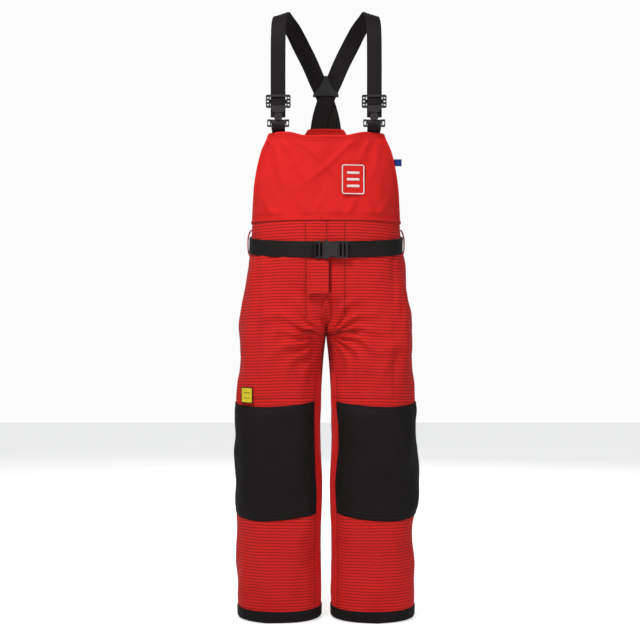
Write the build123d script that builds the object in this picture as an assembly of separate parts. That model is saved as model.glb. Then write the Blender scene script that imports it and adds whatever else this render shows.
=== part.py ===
from build123d import *
import math
import os

# Bunker pants: bib trousers with suspenders, worn shape, millimetres.
# +X is the wearer's left, -Y is the front, +Z is up, the hems are near z = 0.

# ---- heights ----
HEM_BAND = 27.0            # height of the hem binding
KNEE_Z = 420.0             # knee hinge line
CROTCH_Z = 700.0           # bottom of the rise seam
HIP_Z = 800.0              # hip hinge line
WAIST_SEAM_Z = 985.0       # seam between trousers and bib
BIB_TOP_Z = 1190.0         # corners of the front bib
BIB_DIP = 13.0             # how far the front bib's top edge dips between the corners
BACK_TOP_Z = 1228.0        # top of the back bib
SHOULDER_Z = 1492.0        # top of the suspenders

# ---- girths, as half widths and half depths of the outer surface ----
HEM_HALF_WIDTH = 104.0
HEM_HALF_DEPTH = 92.0
HEM_INNER_X = 12.0         # from the middle plane to the leg's inner side at the hem
KNEE_HALF_WIDTH = 105.5
KNEE_HALF_DEPTH = 98.0
THIGH_HALF_WIDTH = 103.0
THIGH_HALF_DEPTH = 116.0
THIGH_INNER_X = 9.5
HIP_HALF_WIDTH = 206.0
HIP_HALF_DEPTH = 124.0
WAIST_HALF_WIDTH = 187.0
WAIST_HALF_DEPTH = 121.0
SEAM_HALF_WIDTH = 183.0
SEAM_HALF_DEPTH = 118.0
CHEST_HALF_WIDTH = 191.0
CHEST_HALF_DEPTH = 108.0
LEG_SQUARENESS = 2.4
TRUNK_SQUARENESS = 2.3
OVAL_POINTS = 12

# ---- cloth ----
CLOTH = 4.0                # outer shell with its liner
PANEL = 3.0                # reinforced knee panel
PAD = 8.0                  # knee pad foam
SKIN_GAP = 0.6             # between a sewn-on piece and the cloth under it
BODY_GAP = 1.0             # between bodies at a hinge
SEAM = 0.6                 # between sewn panels, where the stitching lies
GUSSET_WIDTH = 14.0        # inseam strip, across the leg

# ---- bending ----
HIP_BEND = 40.0
KNEE_BEND = 60.0
KNEE_AXIS_Y = -12.0
BEND_SPARE = 1.0           # degrees left free past each limit

# ---- front bib outline ----
BIB_CORNER_X = 141.0
BIB_CORNER_FLAT = 46.0     # width of each strap corner
BIB_ARM_X = 168.0          # half width where the armhole is half way down
BACK_TOP_X = 41.0
BACK_SHOULDER_X = 62.0
BACK_SHOULDER_DROP = 36.0

# ---- knee panel ----
KNEE_PANEL_LOW = 252.0
KNEE_PANEL_HIGH = 534.0
KNEE_PANEL_BOW = 10.0
KNEE_PAD_HALF = 62.0
KNEE_PAD_TALL = 150.0

# ---- belt ----
BELT_WIDTH = 40.0
BELT_THICK = 2.5
BELT_GAP = 1.2
BELT_SIDE_Z = 924.0
BELT_SAG = 17.0
LOOP_WIDTH = 22.0
LOOP_THICK = 2.5
LOOP_GAP = 1.3
LOOP_REACH = 38.0          # half height of a belt loop

# ---- side release buckle ----
BUCKLE_X = 12.0
BUCKLE_LENGTH = 79.0
BUCKLE_HEIGHT = 46.0
BUCKLE_THICK = 11.0
HOUSING_LENGTH = 34.0
LADDER_LENGTH = 22.0
LADDER_HEIGHT = 42.0
LADDER_THICK = 3.5
SLOT_WIDTH = 5.0
RAIL = 4.0
PRONG_WIDTH = 5.0
PRONG_LENGTH = 27.0
PRONG_THICK = 4.0
PRONG_CLEAR = 0.6
WING = 4.5
BUCKLE_WALL = 2.5
END_WALL = 4.0             # closed end of the housing behind the prongs
NOTCH_RADIUS = 13.0        # hollow in the housing's edge that shows the prong wings

# ---- suspenders ----
STRAP_X = 116.0
STRAP_WIDTH = 36.0
STRAP_THICK = 2.0
STRAP_Y = -103.0           # middle of the strap's thickness at the chest
BACK_STRAP_Y = 114.0
STRAP_LAYER = 3.0          # one strap behind the other where they cross
CROSS_Z = 1313.0
PATCH_TOP_Z = 1374.0
PATCH_LOW_Z = 1311.0
PATCH_HALF_TOP = 7.0
PATCH_HALF_LOW = 34.0
PATCH_THICK = 2.0

# ---- hook buckles on the suspenders ----
FRAME_Z = 1266.0
FRAME_WIDTH = 60.0
FRAME_HEIGHT = 31.0
FRAME_RAIL = 10.0
FRAME_BAR = 5.0
FRAME_FRONT = 3.0
STRAP_CLEAR = 1.2
TONGUE_DROP = 12.0
TONGUE_HALF_WIDTH = 13.0
TAB_DROP = 17.0
TAB_HALF_WIDTH = 10.0
CATCH_WIDTH = 53.0
CATCH_HEIGHT = 18.0
CATCH_Z = 1213.0
CATCH_EAR = 9.0

# ---- fly and zip ----
FLY_WIDTH = 52.0
FLY_LOW_Z = 804.0
FLY_HIGH_Z = 882.0
FLY_STAND = 6.0
ZIP_TAPE_HALF = 13.0
RISE_HALF_WIDTH = 7.5

# ---- small sewn pieces ----
BADGE_X = 65.0
BADGE_Z = 1076.0
BADGE_WIDTH = 57.0
BADGE_HEIGHT = 74.0
LABEL_X = -190.0
LABEL_Z = 554.0
LABEL_WIDTH = 28.0
LABEL_HEIGHT = 39.0
SIDE_TAB_Z = 1123.0
SIDE_TAB_REACH = 20.0
SIDE_TAB_HEIGHT = 17.0

BIG = 3000.0
FRONT_HALF = (-BIG / 2, -SEAM / 2)
BACK_HALF = (SEAM / 2, BIG / 2)
os.makedirs("parts", exist_ok=True)


def side_of(point, normal):
    """A block that fills everything on the normal's side of a plane."""
    block = Box(BIG, BIG, BIG, align=(Align.CENTER, Align.CENTER, Align.MIN))
    return Plane(origin=point, z_dir=normal) * block


def slab(x_range=None, y_range=None, z_range=None):
    """A block between two limits on each axis, endless where none is given."""
    spans = []
    for limits in (x_range, y_range, z_range):
        spans.append(limits if limits else (-BIG / 2, BIG / 2))
    sizes = [high - low for low, high in spans]
    centres = [(high + low) / 2 for low, high in spans]
    return Pos(*centres) * Box(*sizes)


def only_solids(shape):
    """One compound of the solids in a shape."""
    found = list(shape.solids())
    return found[0] if len(found) == 1 else Compound(children=found)


def oval(centre_x, z, half_width, half_depth, squareness):
    """A level closed curve between an ellipse and a rectangle."""
    power = 2.0 / squareness
    points = []
    for step in range(OVAL_POINTS):
        turn = 2.0 * math.pi * step / OVAL_POINTS
        across = math.cos(turn)
        along = math.sin(turn)
        x = centre_x + half_width * math.copysign(abs(across) ** power, across)
        y = half_depth * math.copysign(abs(along) ** power, along)
        points.append(Vector(x, y, z))
    return Wire([Edge.make_spline(points, periodic=True)])


def column(sections, grow, squareness):
    """A solid through level ovals, each grown outwards by the same amount."""
    wires = []
    for z, centre_x, half_width, half_depth in sections:
        wires.append(oval(centre_x, z, half_width + grow, half_depth + grow, squareness))
    return Solid.make_loft(wires)


def skin(sections, low, high, squareness):
    """The shell between two offsets of the same column."""
    return column(sections, high, squareness) - column(sections, low, squareness)


def trunk_sections():
    middle_z = (HIP_Z + BELT_SIDE_Z) / 2
    middle_width = (HIP_HALF_WIDTH + WAIST_HALF_WIDTH) / 2 + 2.0
    middle_depth = (HIP_HALF_DEPTH + WAIST_HALF_DEPTH) / 2
    chest_z = (WAIST_SEAM_Z + BACK_TOP_Z) / 2
    chest_width = (SEAM_HALF_WIDTH + CHEST_HALF_WIDTH) / 2 + 1.0
    chest_depth = (SEAM_HALF_DEPTH + CHEST_HALF_DEPTH) / 2
    return [
        (HIP_Z, 0.0, HIP_HALF_WIDTH, HIP_HALF_DEPTH),
        (middle_z, 0.0, middle_width, middle_depth),
        (BELT_SIDE_Z, 0.0, WAIST_HALF_WIDTH, WAIST_HALF_DEPTH),
        (WAIST_SEAM_Z, 0.0, SEAM_HALF_WIDTH, SEAM_HALF_DEPTH),
        (chest_z, 0.0, chest_width, chest_depth),
        (BACK_TOP_Z + 12.0, 0.0, CHEST_HALF_WIDTH, CHEST_HALF_DEPTH),
    ]


def leg_sections():
    hip_half = (HIP_HALF_WIDTH - THIGH_INNER_X) / 2
    low_thigh_z = (KNEE_Z + CROTCH_Z) / 2
    low_thigh_width = (KNEE_HALF_WIDTH + THIGH_HALF_WIDTH) / 2
    low_thigh_depth = (KNEE_HALF_DEPTH + THIGH_HALF_DEPTH) / 2
    return [
        (0.0, HEM_INNER_X + HEM_HALF_WIDTH, HEM_HALF_WIDTH, HEM_HALF_DEPTH),
        (KNEE_Z / 2, HEM_INNER_X + HEM_HALF_WIDTH + 0.5, HEM_HALF_WIDTH + 1.0, HEM_HALF_DEPTH + 2.0),
        (KNEE_Z, HEM_INNER_X - 1.0 + KNEE_HALF_WIDTH, KNEE_HALF_WIDTH, KNEE_HALF_DEPTH),
        (low_thigh_z, THIGH_INNER_X + 0.5 + low_thigh_width, low_thigh_width, low_thigh_depth),
        (CROTCH_Z, THIGH_INNER_X + THIGH_HALF_WIDTH, THIGH_HALF_WIDTH, THIGH_HALF_DEPTH),
        (HIP_Z, THIGH_INNER_X + hip_half, hip_half, HIP_HALF_DEPTH),
    ]


def trunk_skin(low, high):
    return skin(trunk_sections(), low, high, TRUNK_SQUARENESS)


def leg_skin(low, high):
    return skin(leg_sections(), low, high, LEG_SQUARENESS)


def mirrored(shape):
    return mirror(shape, about=Plane.YZ)


def front_prism(outline_wire, y_range):
    """An outline drawn in the front view, carried through a range of depths."""
    face = Face(outline_wire)
    return Pos(0, y_range[0], 0) * extrude(face, amount=y_range[1] - y_range[0], dir=(0, 1, 0))


def outline(edges):
    return Wire(edges)


def point(x, z):
    return Vector(x, 0, z)


# ------------------------------------------------------------------ trunk

def bib_front():
    shell = trunk_skin(-CLOTH, 0.0)
    dip_z = BIB_TOP_Z - BIB_DIP
    inner_x = BIB_CORNER_X - BIB_CORNER_FLAT
    arm_z = (WAIST_SEAM_Z + BIB_TOP_Z) / 2
    low_x = SEAM_HALF_WIDTH + 5.0
    low_z = WAIST_SEAM_Z + SEAM
    arm_x = BIB_ARM_X + 5.0
    right_arm = Spline(point(low_x, low_z), point(arm_x, arm_z), point(BIB_CORNER_X, BIB_TOP_Z))
    left_arm = Spline(point(-BIB_CORNER_X, BIB_TOP_Z), point(-arm_x, arm_z), point(-low_x, low_z))
    shape = outline([
        Line(point(-low_x, WAIST_SEAM_Z + SEAM), point(low_x, WAIST_SEAM_Z + SEAM)),
        right_arm,
        Line(point(BIB_CORNER_X, BIB_TOP_Z), point(inner_x, BIB_TOP_Z - 2.0)),
        Line(point(inner_x, BIB_TOP_Z - 2.0), point(inner_x - 24.0, dip_z)),
        Line(point(inner_x - 24.0, dip_z), point(24.0 - inner_x, dip_z)),
        Line(point(24.0 - inner_x, dip_z), point(-inner_x, BIB_TOP_Z - 2.0)),
        Line(point(-inner_x, BIB_TOP_Z - 2.0), point(-BIB_CORNER_X, BIB_TOP_Z)),
        left_arm,
    ])
    return shell & front_prism(shape, (-BIG / 4, -2.0))


def bib_back():
    shell = trunk_skin(-CLOTH, 0.0)
    low_x = SEAM_HALF_WIDTH + 5.0
    mid_z = WAIST_SEAM_Z + 0.42 * (BACK_TOP_Z - WAIST_SEAM_Z)
    shoulder_z = BACK_TOP_Z - BACK_SHOULDER_DROP
    low_z = WAIST_SEAM_Z + SEAM
    shape = outline([
        Line(point(-low_x, low_z), point(low_x, low_z)),
        Spline(point(low_x, low_z), point(0.62 * low_x, mid_z), point(BACK_SHOULDER_X, shoulder_z)),
        Line(point(BACK_SHOULDER_X, shoulder_z), point(BACK_TOP_X, BACK_TOP_Z)),
        Line(point(BACK_TOP_X, BACK_TOP_Z), point(-BACK_TOP_X, BACK_TOP_Z)),
        Line(point(-BACK_TOP_X, BACK_TOP_Z), point(-BACK_SHOULDER_X, shoulder_z)),
        Spline(point(-BACK_SHOULDER_X, shoulder_z), point(-0.62 * low_x, mid_z), point(-low_x, low_z)),
    ])
    return shell & front_prism(shape, (2.0, BIG / 4))


def waist_panels():
    shell = trunk_skin(-CLOTH, 0.0) & slab(z_range=(HIP_Z, WAIST_SEAM_Z))
    panels = {}
    for end, y_range in (("front", FRONT_HALF), ("back", BACK_HALF)):
        half = shell & slab(x_range=(SEAM / 2, BIG / 2), y_range=y_range)
        panels["waist_%s_left" % end] = half
        panels["waist_%s_right" % end] = mirrored(half)
    return panels


def rise_strip():
    """The seam strip that runs from the fly under the crotch to the back."""
    drop = HIP_Z - CROTCH_Z
    big = Plane.YZ * Ellipse(HIP_HALF_DEPTH, drop)
    small = Plane.YZ * Ellipse(HIP_HALF_DEPTH - CLOTH, drop - CLOTH)
    ring = extrude(big - small, amount=RISE_HALF_WIDTH, both=True)
    return Pos(0, 0, HIP_Z) * ring & slab(z_range=(0.0, HIP_Z - BODY_GAP))


def fly_placket():
    width = (6.0 - FLY_WIDTH, 6.0)
    height = (FLY_LOW_Z, FLY_HIGH_Z)
    front = (-BIG / 2, -WAIST_HALF_DEPTH / 2)
    flap = trunk_skin(FLY_STAND, FLY_STAND + CLOTH / 2) & slab(width, front, height)
    edge = trunk_skin(SKIN_GAP, FLY_STAND + CLOTH / 2) & slab((width[0], width[0] + 5.0), front, height)
    return flap + edge


def zip_tape():
    front = (-BIG / 2, -WAIST_HALF_DEPTH / 2)
    return trunk_skin(SKIN_GAP, SKIN_GAP + 0.8) & slab((-ZIP_TAPE_HALF, ZIP_TAPE_HALF), front, (FLY_LOW_Z, FLY_HIGH_Z))


def zip_slider():
    face_y = -(HIP_HALF_DEPTH + WAIST_HALF_DEPTH) / 2
    body = Pos(0, face_y - 3.2, FLY_HIGH_Z - 12.0) * Box(9.0, 2.4, 11.0)
    body = fillet(body.edges().filter_by(Axis.Y), 2.0)
    pull = Pos(0, face_y - 3.2, FLY_HIGH_Z - 23.0) * Box(5.0, 1.4, 13.0)
    return body + fillet(pull.edges().filter_by(Axis.Y), 1.5)


# ------------------------------------------------------------------ belt

def belt_slab():
    tilt = math.degrees(math.atan(BELT_SAG / WAIST_HALF_DEPTH))
    return Pos(0, 0, BELT_SIDE_Z) * Rot(X=tilt) * Box(BIG, BIG, BELT_WIDTH)


def belt_parts():
    ring = trunk_skin(BELT_GAP, BELT_GAP + BELT_THICK) & belt_slab()
    tongue_side_x = BUCKLE_X - BUCKLE_LENGTH / 2 + LADDER_LENGTH / 2
    housing_side_x = BUCKLE_X + BUCKLE_LENGTH / 2 - LADDER_LENGTH / 2
    back = ring & slab(y_range=BACK_HALF)
    right = ring & slab((-BIG / 2, tongue_side_x), FRONT_HALF)
    left = ring & slab((housing_side_x, BIG / 2), FRONT_HALF)
    return {"belt_back": back, "belt_front_right": right, "belt_front_left": left}


def belt_loops():
    """Staples of cloth that stand over the belt at the sides and the back."""
    clear = BELT_GAP + BELT_THICK + LOOP_GAP
    cloth = column(trunk_sections(), SKIN_GAP, TRUNK_SQUARENESS)
    centre = BELT_SIDE_Z + 2.0
    outer = slab(z_range=(centre - LOOP_REACH, centre + LOOP_REACH))
    outer = outer & column(trunk_sections(), clear + LOOP_THICK, TRUNK_SQUARENESS)
    inner = slab(z_range=(centre - LOOP_REACH + LOOP_THICK, centre + LOOP_REACH - LOOP_THICK))
    inner = inner & column(trunk_sections(), clear, TRUNK_SQUARENESS)
    staple = outer - cloth - inner
    side = staple & slab((0.0, BIG / 2), (-LOOP_WIDTH / 2, LOOP_WIDTH / 2))
    behind_z = BELT_SIDE_Z + BELT_SAG
    lift = behind_z - centre
    tall = slab(z_range=(centre - LOOP_REACH + lift, centre + LOOP_REACH + lift))
    tall = tall & column(trunk_sections(), clear + LOOP_THICK, TRUNK_SQUARENESS)
    gap = slab(z_range=(behind_z - LOOP_REACH + LOOP_THICK, behind_z + LOOP_REACH - LOOP_THICK))
    gap = gap & column(trunk_sections(), clear, TRUNK_SQUARENESS)
    behind = (tall - cloth - gap) & slab((-LOOP_WIDTH / 2, LOOP_WIDTH / 2), (0.0, BIG / 2))
    return {"belt_loop_left": side, "belt_loop_right": mirrored(side), "belt_loop_back": behind}


def buckle_frame():
    """Where the buckle stands: its middle plane in front of the belt."""
    front_y = -(WAIST_HALF_DEPTH + BELT_GAP + BELT_THICK)
    return front_y - 2.5 - BUCKLE_THICK / 2, BELT_SIDE_Z - BELT_SAG - 1.0


def ladder(x_low, x_high, y, z):
    """A flat frame with two webbing slots and a bar between them."""
    length = x_high - x_low
    plate = Pos((x_low + x_high) / 2, y, z) * Box(length, LADDER_THICK, LADDER_HEIGHT)
    plate = fillet(plate.edges().filter_by(Axis.Y), 3.0)
    bar = (length - 2 * SLOT_WIDTH) / 3
    for step in range(2):
        slot_x = x_low + bar + SLOT_WIDTH / 2 + step * (SLOT_WIDTH + bar)
        plate = plate - Pos(slot_x, y, z) * Box(SLOT_WIDTH, BUCKLE_THICK, LADDER_HEIGHT - 2 * RAIL)
    return plate


def prong_length():
    """The prongs' length, kept short of the housing's closed end."""
    return min(PRONG_LENGTH, HOUSING_LENGTH - END_WALL - 3.0)


def buckle_housing():
    y, z = buckle_frame()
    mouth_x = BUCKLE_X - BUCKLE_LENGTH / 2 + LADDER_LENGTH
    back_x = mouth_x + HOUSING_LENGTH
    shell = Pos((mouth_x + back_x) / 2, y, z) * Box(HOUSING_LENGTH, BUCKLE_THICK, BUCKLE_HEIGHT)
    shell = fillet(shell.edges().filter_by(Axis.Y), 4.0)
    shell = fillet(shell.edges().filter_by(Axis.X), 2.0)
    cavity_thick = BUCKLE_THICK - 2 * BUCKLE_WALL
    cavity_length = prong_length() + 3.0
    shell = shell - Pos(mouth_x + cavity_length / 2, y, z) * Box(cavity_length, cavity_thick, BUCKLE_HEIGHT + 2.0)
    for sign in (-1, 1):
        notch = Pos(mouth_x + HOUSING_LENGTH - NOTCH_RADIUS - 1.0, y, z + sign * (BUCKLE_HEIGHT / 2 + 6.0)) * Rot(X=90) * Cylinder(NOTCH_RADIUS, 40.0)
        shell = shell - notch
    rear = ladder(back_x - 1.0, back_x + LADDER_LENGTH + 1.0, y, z)
    return shell + rear


def buckle_tongue():
    y, z = buckle_frame()
    mouth_x = BUCKLE_X - BUCKLE_LENGTH / 2 + LADDER_LENGTH
    plate = ladder(mouth_x - LADDER_LENGTH, mouth_x - 0.5, y, z)
    guide_thick = BUCKLE_THICK - 2 * BUCKLE_WALL - 2 * PRONG_CLEAR
    guide_length = prong_length() - 4.0
    guide = Pos(mouth_x - 1.0 + guide_length / 2, y, z) * Box(guide_length, guide_thick, 7.0)
    return plate + guide


def buckle_prong(sign):
    """One side prong of the tongue with its finger wing, outwards by sign."""
    y, z = buckle_frame()
    mouth_x = BUCKLE_X - BUCKLE_LENGTH / 2 + LADDER_LENGTH
    thick = min(PRONG_THICK, BUCKLE_THICK - 2 * BUCKLE_WALL - 2 * PRONG_CLEAR)
    mid_z = LADDER_HEIGHT / 2 - RAIL - PRONG_WIDTH / 2 - 2.0
    length = prong_length()
    arm = Pos(mouth_x + length / 2, y, z + sign * mid_z) * Box(length, thick, PRONG_WIDTH)
    wing_x = mouth_x + length - 7.0
    wing = Pos(wing_x, y, z + sign * (mid_z + PRONG_WIDTH / 2)) * Box(13.0, thick, 2 * WING)
    wing = fillet(wing.edges().filter_by(Axis.Y), 3.0)
    return arm + wing


def belt_fold():
    """The short end of webbing that is folded round the tongue's outer bar."""
    y, z = buckle_frame()
    bar_x = BUCKLE_X - BUCKLE_LENGTH / 2
    bar = (LADDER_LENGTH - 0.5 - 2 * SLOT_WIDTH) / 3
    height = LADDER_HEIGHT - 2 * RAIL - 1.0
    inside = LADDER_THICK / 2 + 0.5
    thick = 1.6
    length = bar + SLOT_WIDTH + 1.0
    solid = Pos(bar_x - 4.0 + length / 2, y, z) * Box(length, 2 * (inside + thick), height)
    hole = Pos(bar_x - 4.0 + length / 2 - thick, y, z) * Box(length, 2 * inside, height + 2.0)
    return solid - hole


# ------------------------------------------------------------------ suspenders

def band(stops, width, thick):
    """A flat strap through stops, each a place and the strap's width direction."""
    wires = []
    for index, (place, across) in enumerate(stops):
        before = stops[max(index - 1, 0)][0]
        after = stops[min(index + 1, len(stops) - 1)][0]
        across = Vector(*across).normalized()
        along = (Vector(*after) - Vector(*before)).normalized()
        along = (along - across * along.dot(across)).normalized()
        section = Plane(origin=place, x_dir=across, z_dir=along) * Rectangle(width, thick)
        wires.append(section.faces()[0].outer_wire())
    return Solid.make_loft(wires, ruled=True)


def suspender(layer):
    """One strap: up the chest on the left, over the shoulder, down the back to the right."""
    back_y = BACK_STRAP_Y + layer
    drop = SHOULDER_Z - CROSS_Z
    level = (1.0, 0.0, 0.0)
    slope = (0.92, 0.0, -0.40)
    slant = (0.86, 0.0, -0.51)
    steep = (0.97, 0.0, -0.25)
    stops = [
        ((STRAP_X, STRAP_Y, FRAME_Z - 40.0), level),
        ((STRAP_X, STRAP_Y, SHOULDER_Z - 92.0), level),
        ((STRAP_X, STRAP_Y + 9.0, SHOULDER_Z - 37.0), (0.99, 0.0, -0.12)),
        ((STRAP_X - 4.0, STRAP_Y + 32.0, SHOULDER_Z - 10.0), (0.95, 0.0, -0.30)),
        ((STRAP_X - 11.0, STRAP_Y + 67.0, SHOULDER_Z), slope),
        ((STRAP_X - 18.0, STRAP_Y + 107.0, SHOULDER_Z - 3.0), slope),
        ((STRAP_X - 30.0, STRAP_Y + 147.0, SHOULDER_Z - 17.0), slant),
        ((STRAP_X - 48.0, BACK_STRAP_Y - 28.0, SHOULDER_Z - 50.0), slant),
        ((STRAP_X - 70.0, back_y - 9.0, CROSS_Z + 0.47 * drop), slant),
        ((26.0, back_y, CROSS_Z + 0.25 * drop), slant),
        ((0.0, back_y, CROSS_Z - 3.0), (0.93, 0.0, -0.37)),
        ((-12.0, back_y, CROSS_Z - 46.0), steep),
        ((-22.0, back_y, BACK_TOP_Z - 26.0), steep),
    ]
    return band(stops, STRAP_WIDTH, STRAP_THICK)


def crosspatch(y_low):
    """The shield-like patch that holds the crossing, with hollow sides."""
    low = PATCH_HALF_LOW
    top = PATCH_HALF_TOP
    waist_z = PATCH_LOW_Z + 0.36 * (PATCH_TOP_Z - PATCH_LOW_Z)
    shape = outline([
        Line(point(-low, PATCH_LOW_Z), point(low, PATCH_LOW_Z)),
        Line(point(low, PATCH_LOW_Z), point(low, PATCH_LOW_Z + 8.0)),
        Spline(point(low, PATCH_LOW_Z + 8.0), point(0.56 * low, waist_z), point(top, PATCH_TOP_Z)),
        Line(point(top, PATCH_TOP_Z), point(-top, PATCH_TOP_Z)),
        Spline(point(-top, PATCH_TOP_Z), point(-0.56 * low, waist_z), point(-low, PATCH_LOW_Z + 8.0)),
        Line(point(-low, PATCH_LOW_Z + 8.0), point(-low, PATCH_LOW_Z)),
    ])
    return front_prism(shape, (y_low, y_low + PATCH_THICK))


def crosspatches():
    inner_y = BACK_STRAP_Y - STRAP_THICK / 2 - 0.8 - PATCH_THICK
    outer_y = BACK_STRAP_Y + STRAP_LAYER + STRAP_THICK / 2 + 0.8
    return {"crosspatch_inner": crosspatch(inner_y), "crosspatch_outer": crosspatch(outer_y)}


def adjuster():
    """The sliding frame on the strap: two bars in front of the web, one behind."""
    front = STRAP_Y - STRAP_THICK / 2 - STRAP_CLEAR
    behind = STRAP_Y + STRAP_THICK / 2 + STRAP_CLEAR
    depth = behind - front + 2 * FRAME_FRONT
    middle_y = (front + behind) / 2
    frame = Pos(STRAP_X, middle_y, FRAME_Z) * Box(FRAME_WIDTH, depth, FRAME_HEIGHT)
    frame = fillet(frame.edges().filter_by(Axis.Y), 4.0)
    opening = FRAME_WIDTH - 2 * FRAME_RAIL
    frame = frame - Pos(STRAP_X, middle_y, FRAME_Z) * Box(opening, depth + 2.0, FRAME_HEIGHT + 2.0)
    for rail in (-1, 1):
        for step in (-1, 0, 1):
            x = STRAP_X + rail * (FRAME_WIDTH / 2 - FRAME_RAIL / 2)
            frame = frame - Pos(x, middle_y, FRAME_Z + step * 8.5) * Box(4.5, depth + 2.0, 4.5)
    bar_z = FRAME_HEIGHT / 2 - FRAME_BAR / 2
    for sign in (-1, 1):
        bar = Pos(STRAP_X, front - FRAME_FRONT / 2, FRAME_Z + sign * bar_z)
        frame = frame + bar * Box(opening + 1.0, FRAME_FRONT, FRAME_BAR)
    back_bar = Pos(STRAP_X, behind + FRAME_FRONT / 2, FRAME_Z) * Box(opening + 1.0, FRAME_FRONT, 2 * FRAME_BAR)
    low_z = FRAME_Z - FRAME_HEIGHT / 2
    tongue = outline([
        Line(point(STRAP_X - 20.0, low_z + 1.0), point(STRAP_X + 20.0, low_z + 1.0)),
        Line(point(STRAP_X + 20.0, low_z + 1.0), point(STRAP_X + TONGUE_HALF_WIDTH, low_z - 10.0)),
        Line(point(STRAP_X + TONGUE_HALF_WIDTH, low_z - 10.0), point(STRAP_X + TAB_HALF_WIDTH, low_z - TONGUE_DROP)),
        Line(point(STRAP_X + TAB_HALF_WIDTH, low_z - TONGUE_DROP), point(STRAP_X - TAB_HALF_WIDTH, low_z - TONGUE_DROP)),
        Line(point(STRAP_X - TAB_HALF_WIDTH, low_z - TONGUE_DROP), point(STRAP_X - TONGUE_HALF_WIDTH, low_z - 10.0)),
        Line(point(STRAP_X - TONGUE_HALF_WIDTH, low_z - 10.0), point(STRAP_X - 20.0, low_z + 1.0)),
    ])
    return frame + back_bar + front_prism(tongue, (front - FRAME_FRONT, front))


def tab_hinge_z():
    return FRAME_Z - FRAME_HEIGHT / 2 - TONGUE_DROP - BODY_GAP


def release_tab():
    """The rounded finger tab below the tongue."""
    front = STRAP_Y - STRAP_THICK / 2 - STRAP_CLEAR
    top_z = tab_hinge_z()
    body = Pos(STRAP_X, front - FRAME_FRONT / 2, top_z - TAB_DROP / 2)
    tab = body * Box(2 * TAB_HALF_WIDTH, FRAME_FRONT, TAB_DROP)
    return fillet(tab.edges().filter_by(Axis.Y), 6.0)


def catch_plate():
    """The lower half of the hook buckle: two ears joined by a bar behind the tab."""
    front = STRAP_Y - STRAP_THICK / 2 - STRAP_CLEAR
    middle_y = front + 0.8 + FRAME_FRONT / 2
    plate = Pos(STRAP_X, middle_y, CATCH_Z) * Box(CATCH_WIDTH, FRAME_FRONT, CATCH_HEIGHT)
    plate = fillet(plate.edges().filter_by(Axis.Y), 4.0)
    plate = plate - Pos(STRAP_X, middle_y, CATCH_Z - 3.0) * Box(CATCH_WIDTH - 2 * CATCH_EAR, 20.0, 6.0)
    for sign in (-1, 1):
        window = Pos(STRAP_X + sign * (CATCH_WIDTH / 2 - CATCH_EAR / 2), middle_y, CATCH_Z)
        plate = plate - window * Box(4.0, 20.0, 9.0)
        ear_x = STRAP_X + sign * (CATCH_WIDTH / 2 - CATCH_EAR / 2)
        ear = Pos(ear_x, middle_y - FRAME_FRONT, CATCH_Z) * Box(CATCH_EAR, FRAME_FRONT, CATCH_HEIGHT)
        plate = plate + (ear - Pos(ear_x, middle_y, CATCH_Z) * Box(4.0, 20.0, 9.0))
    return plate


def bib_tab():
    """Webbing from the catch bar down to the corner of the bib."""
    front = STRAP_Y - STRAP_THICK / 2 - STRAP_CLEAR
    y = front + 0.8 + FRAME_FRONT + 0.8 + 0.75
    low = BIB_TOP_Z - 46.0
    top = CATCH_Z + CATCH_HEIGHT / 2 - 2.0
    web = Pos(STRAP_X, y, (low + top) / 2) * Box(STRAP_WIDTH - 2.0, 1.5, top - low)
    return web - column(trunk_sections(), SKIN_GAP, TRUNK_SQUARENESS)


# ------------------------------------------------------------------ sewn pieces

def chest_badge():
    plate = Pos(BADGE_X, 0, BADGE_Z) * Box(BADGE_WIDTH, BIG / 2, BADGE_HEIGHT)
    plate = fillet(plate.edges().filter_by(Axis.Y), 8.0)
    return trunk_skin(SKIN_GAP, SKIN_GAP + 1.4) & plate & slab(y_range=(-BIG / 2, 0.0))


def side_tab():
    rise = (SIDE_TAB_Z - WAIST_SEAM_Z) / (BIB_TOP_Z - WAIST_SEAM_Z)
    edge_x = BIB_ARM_X + 5.0 - (BIB_ARM_X + 5.0 - BIB_CORNER_X) * (2 * rise - 1) ** 2
    plate = Pos(edge_x + SIDE_TAB_REACH / 2 - 4.0, -57.0, SIDE_TAB_Z)
    plate = plate * Box(SIDE_TAB_REACH + 4.0, 1.6, SIDE_TAB_HEIGHT)
    return plate - column(trunk_sections(), SKIN_GAP, TRUNK_SQUARENESS)


def size_label():
    patch = slab(
        (LABEL_X - LABEL_WIDTH / 2, LABEL_X + LABEL_WIDTH / 2),
        (-BIG / 2, 0.0),
        (LABEL_Z - LABEL_HEIGHT / 2, LABEL_Z + LABEL_HEIGHT / 2),
    )
    return mirrored(leg_skin(SKIN_GAP, SKIN_GAP + 1.2)) & patch


# ------------------------------------------------------------------ legs

def hip_plane(flip):
    bend = math.radians(HIP_BEND + BEND_SPARE)
    normal = (0.0, flip * math.sin(bend), -flip * math.cos(bend))
    return side_of((0.0, 0.0, HIP_Z - (BODY_GAP if flip > 0 else 0.0)), normal)


def knee_plane(end, flip):
    """The plane that cuts the back of the knee, end +1 above the hinge, -1 below."""
    bend = math.radians(KNEE_BEND / 2 + BEND_SPARE)
    normal = (0.0, -flip * math.sin(bend), flip * end * math.cos(bend))
    gap = BODY_GAP if flip > 0 else 0.0
    return side_of((0.0, KNEE_AXIS_Y, KNEE_Z + end * gap), normal)


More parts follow.
